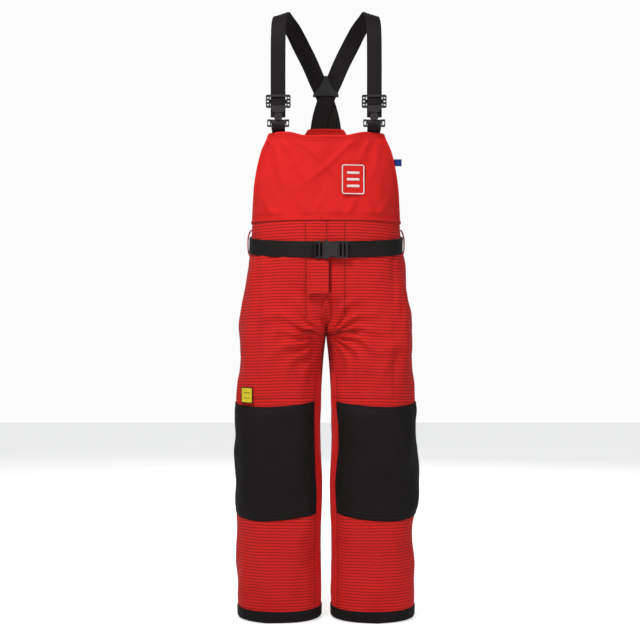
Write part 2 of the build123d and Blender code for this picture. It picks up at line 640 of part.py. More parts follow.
def leg_parts():
    tube = leg_skin(-CLOTH, 0.0)
    top = HIP_Z - BODY_GAP
    strip_x = THIGH_INNER_X + GUSSET_WIDTH
    thigh = tube & slab(z_range=(KNEE_Z + BODY_GAP / 2, top)) & knee_plane(1, 1)
    thigh = thigh & (hip_plane(1) + slab(y_range=(0.0, BIG / 2)))
    shin = tube & slab(z_range=(HEM_BAND + SEAM, KNEE_Z - BODY_GAP / 2)) & knee_plane(-1, 1)
    parts = {}
    for name, piece in (("thigh", thigh), ("shin", shin)):
        outer = piece & slab(x_range=(strip_x + SEAM, BIG / 2))
        parts[name + "_front"] = outer & slab(y_range=FRONT_HALF)
        parts[name + "_back"] = outer & slab(y_range=BACK_HALF)
        parts[name + "_gusset"] = piece & slab(x_range=(-BIG / 2, strip_x))
    hip_wedge = tube & slab(y_range=(-BIG / 2, 0.0), z_range=(0.0, top)) & hip_plane(-1)
    parts["hip_sleeve"] = hip_wedge
    knee_wedge = tube & slab(y_range=(KNEE_AXIS_Y, BIG / 2)) & knee_plane(1, -1) & knee_plane(-1, -1)
    parts["knee_sleeve"] = knee_wedge
    parts["hem_binding"] = leg_skin(-CLOTH - 0.5, 0.8) & slab(z_range=(-1.0, HEM_BAND))
    parts["knee_panel"] = knee_panel()
    parts["knee_pad"] = knee_pad()
    return parts


def knee_panel():
    """The reinforced patch over the front of the knee, bowed at top and bottom."""
    inner_x = THIGH_INNER_X + GUSSET_WIDTH
    outer_x = HEM_INNER_X + 2 * KNEE_HALF_WIDTH + 10.0
    middle_x = (inner_x + outer_x) / 2
    low = KNEE_PANEL_LOW
    high = KNEE_PANEL_HIGH
    bow = KNEE_PANEL_BOW
    low_edge = ThreePointArc(point(inner_x, low + bow), point(middle_x, low), point(outer_x, low + bow))
    high_edge = ThreePointArc(point(outer_x, high), point(middle_x, high - bow), point(inner_x, high))
    shape = outline([
        low_edge,
        Line(point(outer_x, low + bow), point(outer_x, high)),
        high_edge,
        Line(point(inner_x, high), point(inner_x, low + bow)),
    ])
    return leg_skin(SKIN_GAP, SKIN_GAP + PANEL) & front_prism(shape, (-BIG / 4, -8.0))


def knee_pad():
    """The foam pad in its pocket inside the front of the knee."""
    middle_x = HEM_INNER_X - 1.0 + KNEE_HALF_WIDTH
    window = slab(
        (middle_x - KNEE_PAD_HALF, middle_x + KNEE_PAD_HALF),
        (-BIG / 2, 0.0),
        (KNEE_Z - KNEE_PAD_TALL / 2, KNEE_Z + KNEE_PAD_TALL / 2),
    )
    return leg_skin(-CLOTH - SKIN_GAP - PAD, -CLOTH - SKIN_GAP) & window


# ------------------------------------------------------------------ everything

def build():
    parts = {
        "bib_front": bib_front(),
        "bib_back": bib_back(),
        "rise_strip": rise_strip(),
        "fly_placket": fly_placket(),
        "zip_tape": zip_tape(),
        "zip_slider": zip_slider(),
        "buckle_housing": buckle_housing(),
        "buckle_tongue": buckle_tongue(),
        "buckle_prong_upper": buckle_prong(1),
        "buckle_prong_lower": buckle_prong(-1),
        "belt_fold": belt_fold(),
        "chest_badge": chest_badge(),
        "side_tab": side_tab(),
        "size_label": size_label(),
        "suspender_left": suspender(0.0),
        "suspender_right": mirrored(suspender(STRAP_LAYER)),
    }
    parts.update(waist_panels())
    parts.update(belt_parts())
    parts.update(belt_loops())
    parts.update(crosspatches())
    for name, shape in leg_parts().items():
        parts[name + "_left"] = shape
        parts[name + "_right"] = mirrored(shape)
    hardware = {
        "strap_adjuster": adjuster(),
        "release_tab": release_tab(),
        "strap_catch": catch_plate(),
        "bib_tab": bib_tab(),
    }
    for name, shape in hardware.items():
        parts[name + "_left"] = shape
        parts[name + "_right"] = mirrored(shape)
    return parts


for node, shape in build().items():
    solid = only_solids(shape)
    print(node, len(solid.solids()), round(solid.volume))
    export_step(solid, "parts/%s.step" % node)
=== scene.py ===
"""Bunker pants: the cloth, webbing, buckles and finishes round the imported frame, in metres.

+X is the wearer's left, -Y the front and +Z up. Every new piece is a surface worked out with numpy.
"""

import math

import bmesh
import bpy
import numpy as np
from bpy.props import FloatProperty, FloatVectorProperty, PointerProperty
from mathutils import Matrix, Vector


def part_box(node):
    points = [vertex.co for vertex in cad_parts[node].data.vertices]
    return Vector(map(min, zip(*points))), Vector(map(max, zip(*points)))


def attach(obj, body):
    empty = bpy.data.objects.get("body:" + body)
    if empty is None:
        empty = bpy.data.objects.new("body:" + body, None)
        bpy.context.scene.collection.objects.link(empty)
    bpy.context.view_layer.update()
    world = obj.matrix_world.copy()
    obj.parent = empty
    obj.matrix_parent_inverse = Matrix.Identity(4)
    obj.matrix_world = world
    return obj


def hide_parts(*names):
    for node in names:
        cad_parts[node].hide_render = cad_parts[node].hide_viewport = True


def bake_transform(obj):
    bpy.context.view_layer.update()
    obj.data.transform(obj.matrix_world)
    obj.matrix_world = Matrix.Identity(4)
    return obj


bl_info = {
    "name": "Bunker Pants",
    "version": (1, 0, 0),
    "blender": (4, 5, 0),
    "location": "View3D > Sidebar > Bunker Pants",
    "description": "Builds bunker pants with a bib, suspenders, belt and buckles",
    "category": "Object",
}

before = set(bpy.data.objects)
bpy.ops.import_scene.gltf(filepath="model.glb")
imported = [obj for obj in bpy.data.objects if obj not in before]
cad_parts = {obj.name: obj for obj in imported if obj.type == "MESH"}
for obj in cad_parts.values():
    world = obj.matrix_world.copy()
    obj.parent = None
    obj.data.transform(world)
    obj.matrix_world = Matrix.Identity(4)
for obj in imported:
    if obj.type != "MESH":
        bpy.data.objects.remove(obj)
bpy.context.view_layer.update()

SIDES = (("left", 1.0), ("right", -1.0))

# ---- heights and places read from the frame ----
HEM_TOP = float(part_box("hem_binding_left")[1][2])
WAIST_Z = float(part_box("waist_front_left")[1][2])
HIP_Z = float(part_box("waist_front_left")[0][2])
BIB_TOP = float(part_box("bib_front")[1][2])
BACK_TOP = float(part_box("bib_back")[1][2])
CROTCH_Z = float(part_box("rise_strip")[0][2])
SHOULDER_TOP = float(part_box("suspender_left")[1][2])

RISE_START = HIP_Z + 0.03          # where the rise seam begins to turn under
SPLIT_Z = 0.5455                   # where the upper and lower cloth meet, on the thigh
CLOTH_THICK = 0.0032
GUSSET = 0.0150                    # width of the plain strip beside the inseam
GUSSET_TOP = 0.605                 # height at which that strip ends, under the crotch
ROW_PITCH = 0.0045                 # height of one row of faces on the trousers
LEG_X = 0.11                       # about the middle line of a leg
PANEL_LOW, PANEL_HIGH = 0.2480, 0.5260
PANEL_U = (0.0875, 0.545)          # the knee panel's share of the way round the leg
PAD_U = (0.185, 0.345)             # the foam pad's share
PAD_DEPTH = 0.0102                 # the pad's middle, behind the smooth body of the cloth
STRAP_X = 0.116                    # middle of a suspender's front run
BELT_Z = 0.924                     # the belt's height at the sides
BELT_FALL = 0.017                  # how much lower it runs in front
BELT_REACH = 0.121                 # about the belt's distance in front of the sides
BELT_GAP = 0.0032                  # from the trunk's oval to the belt's middle line

# Leg and trunk profiles: height, then a size at that height.
LEG_KNOTS = (0.0, 0.21, 0.33, 0.42, 0.50, 0.57, 0.65, 0.70, 0.80, 0.99)
LEG_INNER = (0.0120, 0.0125, 0.0095, 0.0130, 0.0140, 0.0110, 0.0055, 0.0, 0.0, 0.0)
OUTER_KNOTS = (0.0, 0.21, 0.33, 0.42, 0.50, 0.57, 0.65, 0.70, 0.77, 0.85, 0.912, 0.99)
OUTER_X = (0.2195, 0.2215, 0.2235, 0.2225, 0.2215, 0.2190, 0.2155, 0.2150, 0.2090, 0.1985, 0.1885, 0.1835)
LEG_FRONT = (0.0900, 0.0930, 0.0960, 0.1000, 0.1010, 0.1035, 0.1090, 0.1130, 0.1180, 0.1180)
LEG_BACK = (0.0920, 0.0950, 0.0970, 0.0980, 0.1030, 0.1080, 0.1160, 0.1190, 0.1240, 0.1240)
TRUNK_KNOTS = (0.60, 0.70, 0.80, 0.912, 0.986, 1.10, 1.24)
TRUNK_WIDTH = (0.2190, 0.2150, 0.2060, 0.1885, 0.1840, 0.1890, 0.1920)
TRUNK_FRONT = (0.1270, 0.1250, 0.1228, 0.1203, 0.1180, 0.1130, 0.1080)
TRUNK_BACK = (0.1300, 0.1290, 0.1260, 0.1205, 0.1180, 0.1130, 0.1080)
LEG_POWER = 2.4
TRUNK_POWER = 2.3


def red(shade):
    return (0.66 * shade, 0.0140 * shade, 0.0120 * shade)


class PantsCloth(bpy.types.PropertyGroup):
    """Sizes and colours of the shell cloth."""

    stripe_pitch: FloatProperty(
        name="Stripe pitch",
        description="Distance from one dark line of the shell cloth to the next",
        default=0.0073,
        min=0.002,
        unit="LENGTH",
    )
    wrinkle: FloatProperty(
        name="Wrinkle height",
        description="How far the cloth's soft folds stand out",
        default=0.0042,
        min=0.0,
        unit="LENGTH",
    )
    shell_colour: FloatVectorProperty(
        name="Shell colour",
        description="Colour of the shell cloth",
        subtype="COLOR",
        size=3,
        default=red(1.0),
    )
    line_colour: FloatVectorProperty(
        name="Line colour",
        description="Colour of the fine lines woven across the shell cloth",
        subtype="COLOR",
        size=3,
        default=(0.30, 0.0120, 0.0110),
    )
    black_colour: FloatVectorProperty(
        name="Reinforcement colour",
        description="Colour of the knee panels and hem bindings",
        subtype="COLOR",
        size=3,
        default=(0.0078, 0.0062, 0.0060),
    )


class PantsWebbing(bpy.types.PropertyGroup):
    """Sizes and colours of the suspenders, the belt and their buckles."""

    suspender_width: FloatProperty(
        name="Suspender width",
        description="Width of the suspender webbing",
        default=0.036,
        min=0.01,
        unit="LENGTH",
    )
    belt_width: FloatProperty(
        name="Belt width",
        description="Width of the belt webbing",
        default=0.040,
        min=0.01,
        unit="LENGTH",
    )
    webbing_colour: FloatVectorProperty(
        name="Webbing colour",
        description="Colour of the webbing",
        subtype="COLOR",
        size=3,
        default=(0.0100, 0.0085, 0.0080),
    )
    plastic_colour: FloatVectorProperty(
        name="Buckle colour",
        description="Colour of the moulded buckles",
        subtype="COLOR",
        size=3,
        default=(0.024, 0.021, 0.021),
    )


# ------------------------------------------------------------------ number helpers

def profile(knots, values, z):
    """A smooth curve through a few knots: cubic Hermite pieces with central slopes."""
    k = np.asarray(knots, float)
    f = np.asarray(values, float)
    slope = np.gradient(f, k)
    z = np.clip(z, k[0], k[-1])
    i = np.clip(np.searchsorted(k, z) - 1, 0, len(k) - 2)
    h = k[i + 1] - k[i]
    t = (z - k[i]) / h
    a = (1 + 2 * t) * (1 - t) ** 2 * f[i] + t * (1 - t) ** 2 * h * slope[i]
    return a + t * t * (3 - 2 * t) * f[i + 1] + t * t * (t - 1) * h * slope[i + 1]


def smooth_step(low, high, value):
    t = np.clip((value - low) / (high - low), 0.0, 1.0)
    return t * t * (3 - 2 * t)


def waves(points, seed, longest, shortest, count):
    """Soft noise: a sum of plane waves of random direction, length and phase, about 1 in size."""
    rng = np.random.default_rng(seed)
    total = np.zeros(points.shape[:-1])
    for _ in range(count):
        direction = rng.normal(size=3)
        direction /= np.linalg.norm(direction)
        length = shortest * (longest / shortest) ** rng.random()
        total += np.sin(points @ direction * (2 * math.pi / length) + rng.random() * 6.283)
    return total / math.sqrt(count / 2)


def ridge(distance, width):
    """A rounded ridge across a distance: a bell curve of the given half width."""
    return np.exp(-((distance / width) ** 2))


def unit(vectors):
    """Vectors of length 1, and zero where a vector has no length."""
    return vectors / np.maximum(np.linalg.norm(vectors, axis=-1, keepdims=True), 1e-12)


def facing_normals(points, sign):
    """Unit normals of a grid, as a whole turned to the front (-1) or to the back (1)."""
    normal = unit(np.cross(np.gradient(points, axis=1), np.gradient(points, axis=0)))
    return normal if normal[..., 1].sum() * sign > 0 else -normal


def path_arc(path):
    """Distance along a path at each of its points."""
    return np.concatenate([[0.0], np.cumsum(np.linalg.norm(np.diff(path, axis=0), axis=1))])


def row_arc(grid):
    """Distance along each row of a grid at each of its points."""
    steps = np.linalg.norm(np.diff(grid, axis=1), axis=-1)
    return np.concatenate([np.zeros((grid.shape[0], 1)), np.cumsum(steps, axis=1)], axis=1)


# ------------------------------------------------------------------ mesh helpers

def grid_faces(rows, columns, wrap_rows=False, wrap_columns=False):
    """Four-sided faces of a grid of points, row by row."""
    i = np.arange(rows if wrap_rows else rows - 1)
    j = np.arange(columns if wrap_columns else columns - 1)
    i, j = np.meshgrid(i, j, indexing="ij")
    a = i * columns + j
    b = i * columns + (j + 1) % columns
    c = ((i + 1) % rows) * columns + (j + 1) % columns
    d = ((i + 1) % rows) * columns + j
    return np.stack([a, b, c, d], axis=-1).reshape(-1, 4)


def new_mesh(name, points, faces, smooth=True, maps=None, merge=0.0):
    """A mesh object from points and four-sided faces; maps is {uv name: one pair per point}."""
    mesh = bpy.data.meshes.new(name)
    points = np.asarray(points, np.float32).reshape(-1, 3)
    faces = np.asarray(faces, np.int32).reshape(-1, 4)
    mesh.vertices.add(len(points))
    mesh.vertices.foreach_set("co", points.ravel())
    mesh.loops.add(faces.size)
    mesh.loops.foreach_set("vertex_index", faces.ravel())
    mesh.polygons.add(len(faces))
    mesh.polygons.foreach_set("loop_start", np.arange(0, faces.size, 4, dtype=np.int32))
    mesh.polygons.foreach_set("use_smooth", np.full(len(faces), smooth))
    mesh.update(calc_edges=True)
    for uv_name, pairs in (maps or {}).items():
        layer = mesh.uv_layers.new(name=uv_name)
        pairs = np.asarray(pairs, np.float32).reshape(-1, 2)
        layer.uv.foreach_set("vector", pairs[faces.ravel()].ravel())
    mesh.validate()
    piece = bpy.data.objects.new(name, mesh)
    bpy.context.scene.collection.objects.link(piece)
    if merge:
        clean(piece, merge)
    return piece


def clean(piece, distance=1e-5):
    """Joins doubled points and turns every face outwards."""
    work = bmesh.new()
    work.from_mesh(piece.data)
    bmesh.ops.remove_doubles(work, verts=work.verts, dist=distance)
    bmesh.ops.dissolve_degenerate(work, edges=work.edges, dist=distance / 10)
    bmesh.ops.recalc_face_normals(work, faces=work.faces)
    work.to_mesh(piece.data)
    work.free()
    piece.data.update()


def tube_piece(name, grid, uv):
    """A mesh from a grid that closes across its columns, with its doubled end points joined."""
    piece = new_mesh(name, grid, grid_faces(*grid.shape[:2], wrap_columns=True), maps={"cloth": uv})
    clean(piece, 1e-7)
    return piece


def closed_ends(grid, first, last):
    """A tube with one more ring at each end, gathered in a point."""
    before, after = (np.repeat(point[None, None], grid.shape[1], axis=1) for point in (first, last))
    return np.concatenate([before, grid, after])


def finish_piece(piece, material, body):
    """Gives a piece its material and the body that it follows."""
    piece.data.materials.append(material)
    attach(piece, body)
    return piece


def thicken(piece, thickness, offset=-1.0):
    solid = piece.modifiers.new("thickness", "SOLIDIFY")
    solid.thickness = thickness
    solid.offset = offset
    solid.use_even_offset = False
    return piece


def joined(pieces, name):
    """One mesh from several lists of (points, faces)."""
    points = []
    faces = []
    start = 0
    for some_points, some_faces in pieces:
        some_points = np.asarray(some_points, float).reshape(-1, 3)
        points.append(some_points)
        faces.append(np.asarray(some_faces).reshape(-1, 4) + start)
        start += len(some_points)
    return new_mesh(name, np.concatenate(points), np.concatenate(faces), merge=1e-6)


def rounded_slab(outline, low, high, bevel, place):
    """A plate with rounded edges: an outline shrunk by a quarter circle near both faces.

    outline is a closed loop of (across, up) pairs, low and high its two faces in depth, and
    place(across, up, depth) gives the point. The faces are closed by rings that shrink to the middle.
    """
    outline = np.asarray(outline, float)
    ahead = np.roll(outline, -1, axis=0) - np.roll(outline, 1, axis=0)
    normal = unit(np.stack([ahead[:, 1], -ahead[:, 0]], axis=1))
    turn = np.linspace(0, math.pi / 2, 4)
    insets = np.concatenate([bevel * (1 - np.sin(turn)), bevel * (1 - np.sin(turn[::-1]))])
    depths = np.concatenate([low + bevel * (1 - np.cos(turn)), high - bevel * (1 - np.cos(turn[::-1]))])
    loops = outline[None] - normal[None] * insets[:, None, None]
    rings = np.concatenate([loops, depths[:, None, None] * np.ones((1, len(outline), 1))], axis=2)
    shares = np.array([0.0, 0.33, 0.66])[:, None, None]
    middle = np.array([*outline.mean(axis=0), 0.0])
    bottom = (rings[:1] - middle) * shares + middle
    bottom[..., 2] = low
    top = (rings[-1:] - middle) * shares[::-1] + middle
    top[..., 2] = high
    rings = np.concatenate([bottom, rings, top])
    points = place(rings[..., 0], rings[..., 1], rings[..., 2])
    return points, grid_faces(rings.shape[0], rings.shape[1], wrap_columns=True)


def round_box(width, height, radius, steps=6):
    """Outline of a rectangle with round corners, centred, turning from +across to +up."""
    corners = []
    for index in range(4):
        turn = np.linspace(0, math.pi / 2, steps) + index * math.pi / 2
        sign_x = 1 if index in (0, 3) else -1
        sign_y = 1 if index in (0, 1) else -1
        x = sign_x * (width / 2 - radius) + radius * np.cos(turn)
        y = sign_y * (height / 2 - radius) + radius * np.sin(turn)
        corners.append(np.stack([x, y], axis=1))
    return np.concatenate(corners)


# ------------------------------------------------------------------ cloth shape

def oval_y(x, half, depth, power):
    """Depth of a superellipse at x: depth times (1 - |x/half|^power)^(1/power)."""
    return depth * np.maximum(1 - np.minimum(np.abs(x / half), 1.0) ** power, 0.0) ** (1 / power)


def rise_share(z, across):
    """0 where the garment is one tube, 1 where it is two legs.

    Along the rise seam it follows an ellipse; across the leg it turns into a slow smooth step.
    """
    s = np.clip((RISE_START - z) / (RISE_START - CROTCH_Z), 0.0, 1.0)
    seam = 1 - np.sqrt(np.maximum(1 - s * s, 0.0))
    slow = 1 - smooth_step(0.57, 0.85, z)
    far = smooth_step(0.0, 0.45, across)
    return (1 - far) * seam + far * slow


def cloth_point(u, z, side):
    """The smooth body of one half of the trousers.

    u runs from the inner line across the front to the outer side at a half, and back across
    the rear. x is the inner line plus the width times a raised cosine of u. Depth is a mix of
    the trunk's superellipse and the leg's own, by the share that the rise seam gives at z.
    """
    inner = profile(LEG_KNOTS, LEG_INNER, z)
    outer = profile(OUTER_KNOTS, OUTER_X, z)
    across = (1 - np.cos(2 * math.pi * u)) / 2
    share = rise_share(z, across)
    x = inner + (outer - inner) * across
    front = u <= 0.5
    leg_depth = np.where(front, profile(LEG_KNOTS, LEG_FRONT, z), profile(LEG_KNOTS, LEG_BACK, z))
    trunk_depth = np.where(front, profile(TRUNK_KNOTS, TRUNK_FRONT, z), profile(TRUNK_KNOTS, TRUNK_BACK, z))
    centre = (inner + outer) / 2
    leg = oval_y(x - centre, (outer - inner) / 2, leg_depth, LEG_POWER)
    trunk = oval_y(x, outer, trunk_depth, TRUNK_POWER)
    y = (1 - share) * trunk + share * leg
    return np.stack([side * x, np.where(front, -y, y), z + 0 * x], axis=-1)


def crotch_folds(x, z, front, side):
    """Folds that fan out from the crotch, each a ridge along a ray that fades with distance."""
    dx = x - 0.004
    dz = z - (CROTCH_Z + 0.004)
    reach = np.hypot(dx, dz)
    angle = np.degrees(np.arctan2(dz, dx))
    total = np.zeros_like(x)
    turn = 5.0 * np.sin(reach * 55.0 + side)
    for middle, spread, size, length in (
        (70, 6, 0.5, 0.09), (50, 6, 1.3, 0.12), (24, 6, 1.5, 0.15),
        (3, 6, 1.2, 0.13), (-18, 6, 1.6, 0.17), (-41, 6, 1.3, 0.14), (-66, 6, 0.9, 0.13),
    ):
        length = length * (1.0 + 0.18 * side * math.sin(middle))
        fade = smooth_step(0.004, 0.035, reach) * (1 - smooth_step(length * 0.45, length * 1.3, reach))
        total += 1.5 * size * (ridge(angle + turn - middle - 4 * side, spread) - 0.25) * fade
    return np.where(front, total, 0.8 * total)


def crease_x(side):
    """Where the pressed crease runs down the front of a shin."""
    return 0.134 - 0.010 * side


def long_folds(x, z, front, side):
    """Slack folds in the thighs and behind the knees: ridges along slanting lines."""
    total = np.zeros_like(x)
    for x0, z0, lean, width, length, size in (
        (0.150, 0.640, 0.42, 0.012, 0.090, 0.9), (0.080, 0.600, -0.30, 0.013, 0.080, 0.9),
        (0.175, 0.780, 0.22, 0.010, 0.080, 0.8), (0.120, 0.830, 0.30, 0.012, 0.060, 0.6),
        (0.060, 0.210, 0.20, 0.014, 0.100, 0.5), (0.165, 0.170, -0.15, 0.015, 0.110, 0.6),
        (0.190, 0.700, 0.05, 0.009, 0.140, 0.9), (0.120, 0.760, 0.25, 0.016, 0.090, 0.6),
        (0.055, 0.930, 0.30, 0.010, 0.045, 0.6), (0.125, 0.950, -0.35, 0.010, 0.045, 0.6),
    ):
        across = (x - x0) - lean * (z - z0) * side
        along = (z - z0) / length
        total += size * ridge(across, width) * ridge(along, 1.0)
    below = 1 - smooth_step(0.20, 0.34, z)
    total += np.where(front, 1.5 * np.exp(-np.abs(x - crease_x(side)) / 0.022) * below, 0.0)
    tuck = smooth_step(0.50, 0.60, z) * (1 - smooth_step(0.93, 0.98, z))
    total += np.where(front, 0.5 * (ridge(x - 0.150, 0.012) - ridge(x - 0.166, 0.004)) * tuck, 0.0)
    for z0, slope, size in ((0.470, 0.25, 0.7), (0.440, -0.2, 0.9), (0.405, 0.15, 0.8), (0.375, -0.1, 0.6)):
        across = z - z0 - slope * (x - 0.11)
        total += np.where(front, 0.0, size * ridge(across, 0.010) * ridge(x - 0.115, 0.075))
    return total


def leg_u(x, z):
    """The share round the leg, in front, at which the cloth lies at x: cloth_point's cosine undone."""
    inner, outer = profile(LEG_KNOTS, LEG_INNER, z), profile(OUTER_KNOTS, OUTER_X, z)
    return np.arccos(np.clip(1 - 2 * (x - inner) / (outer - inner), -1, 1)) / (2 * math.pi)


def cloth_at(u, z, side, extra=0.0, wrinkle=None):
    """The wrinkled cloth of one half and its smooth normals.

    The body is moved out along its normals by folds and soft noise, which fade towards the hem,
    the seams, the waist and the fly, and by extra.
    """
    height = bpy.context.scene.pants_cloth.wrinkle if wrinkle is None else wrinkle
    base = cloth_point(u, z, side)
    step = 1e-4
    across = cloth_point(np.minimum(u + step, 1.0), z, side) - cloth_point(np.maximum(u - step, 0.0), z, side)
    down = cloth_point(u, z - step, side) - cloth_point(u, z + step, side)
    normal = unit(np.cross(down, across) * side)
    ends = (u < 1e-6) | (u > 1 - 1e-6)
    sign = np.where(u < 0.5, -1.0, 1.0)
    normal[ends] = np.stack([0 * sign[ends], sign[ends], 0 * sign[ends]], axis=-1)
    front = u <= 0.5
    x = np.abs(base[..., 0])
    bend = 0.50 * waves(base, 11, 0.26, 0.08, 22) + 0.14 * waves(base * (1, 1, 0.6), 12, 0.06, 0.028, 26)
    folds = crotch_folds(x, z, front, side) + long_folds(x, z, front, side)
    free = smooth_step(0.027, 0.085, z) * smooth_step(0.0, 0.012, np.minimum(u, 1 - u))
    waist = 0.08 + 0.92 * (1 - smooth_step(0.88, 0.982, z))
    inseam = 1 - 0.75 * (1 - smooth_step(0.0, 0.030, x)) * (z < CROTCH_Z)
    fly = 1 - 0.95 * front * (1 - smooth_step(0.018, 0.060, x)) * smooth_step(0.775, 0.80, z)
    lift = height * (bend + folds) * waist * free * inseam * fly
    points = base + normal * (lift + extra)[..., None]
    least = np.where(z <= CROTCH_Z + 1e-6, profile(LEG_KNOTS, LEG_INNER, z) * 0.55, 0.0)
    points[..., 0] = side * np.maximum(points[..., 0] * side, least)
    return points, normal


def cloth_maps(grid, z):
    """Cloth map: metres round the body and up. Seam map: metres across from the inseam, and up."""
    arc = row_arc(grid)
    wave = 0.0022 * np.sin(arc * 18.0 + 4.0 * z) * smooth_step(0.05, 0.3, z)
    cloth = np.stack([arc, z + wave], axis=-1)
    strip = np.abs(grid[..., 0]) - np.abs(grid[:, :1, 0])
    seam = np.stack([strip, z], axis=-1)
    return {"cloth": cloth, "seam": seam}


# ------------------------------------------------------------------ material helpers

def socket_in(group, name, kind, default):
    made = group.interface.new_socket(name=name, in_out="INPUT", socket_type=kind)
    made.default_value = default
    return made


def math_node(nodes, links, operation, a, b=None, c=None):
    node = nodes.new("ShaderNodeMath")
    node.operation = operation
    for index, value in enumerate((a, b, c)):
        if value is None:
            continue
        if isinstance(value, (int, float)):
            node.inputs[index].default_value = value
        else:
            links.new(value, node.inputs[index])
    return node.outputs[0]


def weave_group():
    """Plain weave: the product of two sine waves over a map."""
    name = "cloth weave"
    if name in bpy.data.node_groups:
        return bpy.data.node_groups[name]
    group = bpy.data.node_groups.new(name, "ShaderNodeTree")
    socket_in(group, "Vector", "NodeSocketVector", (0, 0, 0))
    socket_in(group, "Threads", "NodeSocketFloat", 900.0)
    group.interface.new_socket(name="Height", in_out="OUTPUT", socket_type="NodeSocketFloat")
    nodes, links = group.nodes, group.links
    inside = nodes.new("NodeGroupInput")
    out = nodes.new("NodeGroupOutput")
    parts = nodes.new("ShaderNodeSeparateXYZ")
    links.new(inside.outputs["Vector"], parts.inputs[0])
    turns = math_node(nodes, links, "MULTIPLY", inside.outputs["Threads"], math.pi)
    x = math_node(nodes, links, "MULTIPLY", parts.outputs[0], turns)
    y = math_node(nodes, links, "MULTIPLY", parts.outputs[1], turns)
    warp = math_node(nodes, links, "SINE", x)
    weft = math_node(nodes, links, "SINE", y)
    both = math_node(nodes, links, "MULTIPLY", warp, weft)
    height = math_node(nodes, links, "MULTIPLY_ADD", both, 0.5, 0.5)
    links.new(height, out.inputs["Height"])
    return group


def wear_group():
    """Slow changes of shade and small scuffs, from noise in object space."""
    name = "soft wear"
    if name in bpy.data.node_groups:
        return bpy.data.node_groups[name]
    group = bpy.data.node_groups.new(name, "ShaderNodeTree")
    socket_in(group, "Scale", "NodeSocketFloat", 9.0)
    socket_in(group, "Amount", "NodeSocketFloat", 0.12)
    for out_name in ("Shade", "Fleck"):
        group.interface.new_socket(name=out_name, in_out="OUTPUT", socket_type="NodeSocketFloat")
    nodes, links = group.nodes, group.links
    inside = nodes.new("NodeGroupInput")
    out = nodes.new("NodeGroupOutput")
    place = nodes.new("ShaderNodeTexCoord")
    noise = nodes.new("ShaderNodeTexNoise")
    noise.inputs["Detail"].default_value = 5.0
    links.new(place.outputs["Object"], noise.inputs["Vector"])
    links.new(inside.outputs["Scale"], noise.inputs["Scale"])
    centred = math_node(nodes, links, "SUBTRACT", noise.outputs[0], 0.5)
    scaled = math_node(nodes, links, "MULTIPLY", centred, inside.outputs["Amount"])
    shade = math_node(nodes, links, "MULTIPLY_ADD", scaled, 2.0, 1.0)
    fine = nodes.new("ShaderNodeTexNoise")
    fine.inputs["Scale"].default_value = 420.0
    fine.inputs["Detail"].default_value = 3.0
    links.new(place.outputs["Object"], fine.inputs["Vector"])
    links.new(shade, out.inputs["Shade"])
    links.new(fine.outputs[0], out.inputs["Fleck"])
    return group


def place_group(nodes, group, **values):
    node = nodes.new("ShaderNodeGroup")
    node.node_tree = group
    for name, value in values.items():
        node.inputs[name].default_value = value
    return node


def start_material(name, roughness, sheen=0.0, specular=0.4):
    material = bpy.data.materials.new(name)
    material.use_nodes = True
    nodes, links = material.node_tree.nodes, material.node_tree.links
    shader = nodes["Principled BSDF"]
    shader.inputs["Roughness"].default_value = roughness
    shader.inputs["Specular IOR Level"].default_value = specular
    if sheen:
        shader.inputs["Sheen Weight"].default_value = sheen
        shader.inputs["Sheen Roughness"].default_value = 0.45
    return material, nodes, links, shader


def mixed(nodes, links, share, first, second, blend="MIX"):
    """A colour mix; share, first and second are numbers, colours or sockets."""
    node = nodes.new("ShaderNodeMix")
    node.data_type = "RGBA"
    node.blend_type = blend
    for socket, value in ((node.inputs[0], share), (node.inputs[6], first), (node.inputs[7], second)):
        if isinstance(value, bpy.types.NodeSocket):
            links.new(value, socket)
        elif isinstance(value, (int, float)):
            socket.default_value = value
        else:
            socket.default_value = (*value, 1.0)
    return node.outputs[2]


def scaled_colour(nodes, links, colour, factor):
    """A colour times a number that changes over the surface."""
    grey = nodes.new("ShaderNodeCombineColor")
    for index in range(3):
        links.new(factor, grey.inputs[index])
    return mixed(nodes, links, 1.0, colour, grey.outputs[0], "MULTIPLY")


def bumped(nodes, links, shader, height, distance, strength=0.6):
    bump = nodes.new("ShaderNodeBump")
    bump.inputs["Distance"].default_value = distance
    bump.inputs["Strength"].default_value = strength
    links.new(height, bump.inputs["Height"])
    links.new(bump.outputs[0], shader.inputs["Normal"])


def band_mask(nodes, links, value, middle, half, soft):
    """1 inside a band about middle, falling to 0 over a soft edge."""
    away = math_node(nodes, links, "ABSOLUTE", math_node(nodes, links, "SUBTRACT", value, middle))
    ramp = nodes.new("ShaderNodeMapRange")
    ramp.inputs["From Min"].default_value = half + soft
    ramp.inputs["From Max"].default_value = half
    links.new(away, ramp.inputs["Value"])
    return ramp.outputs[0]


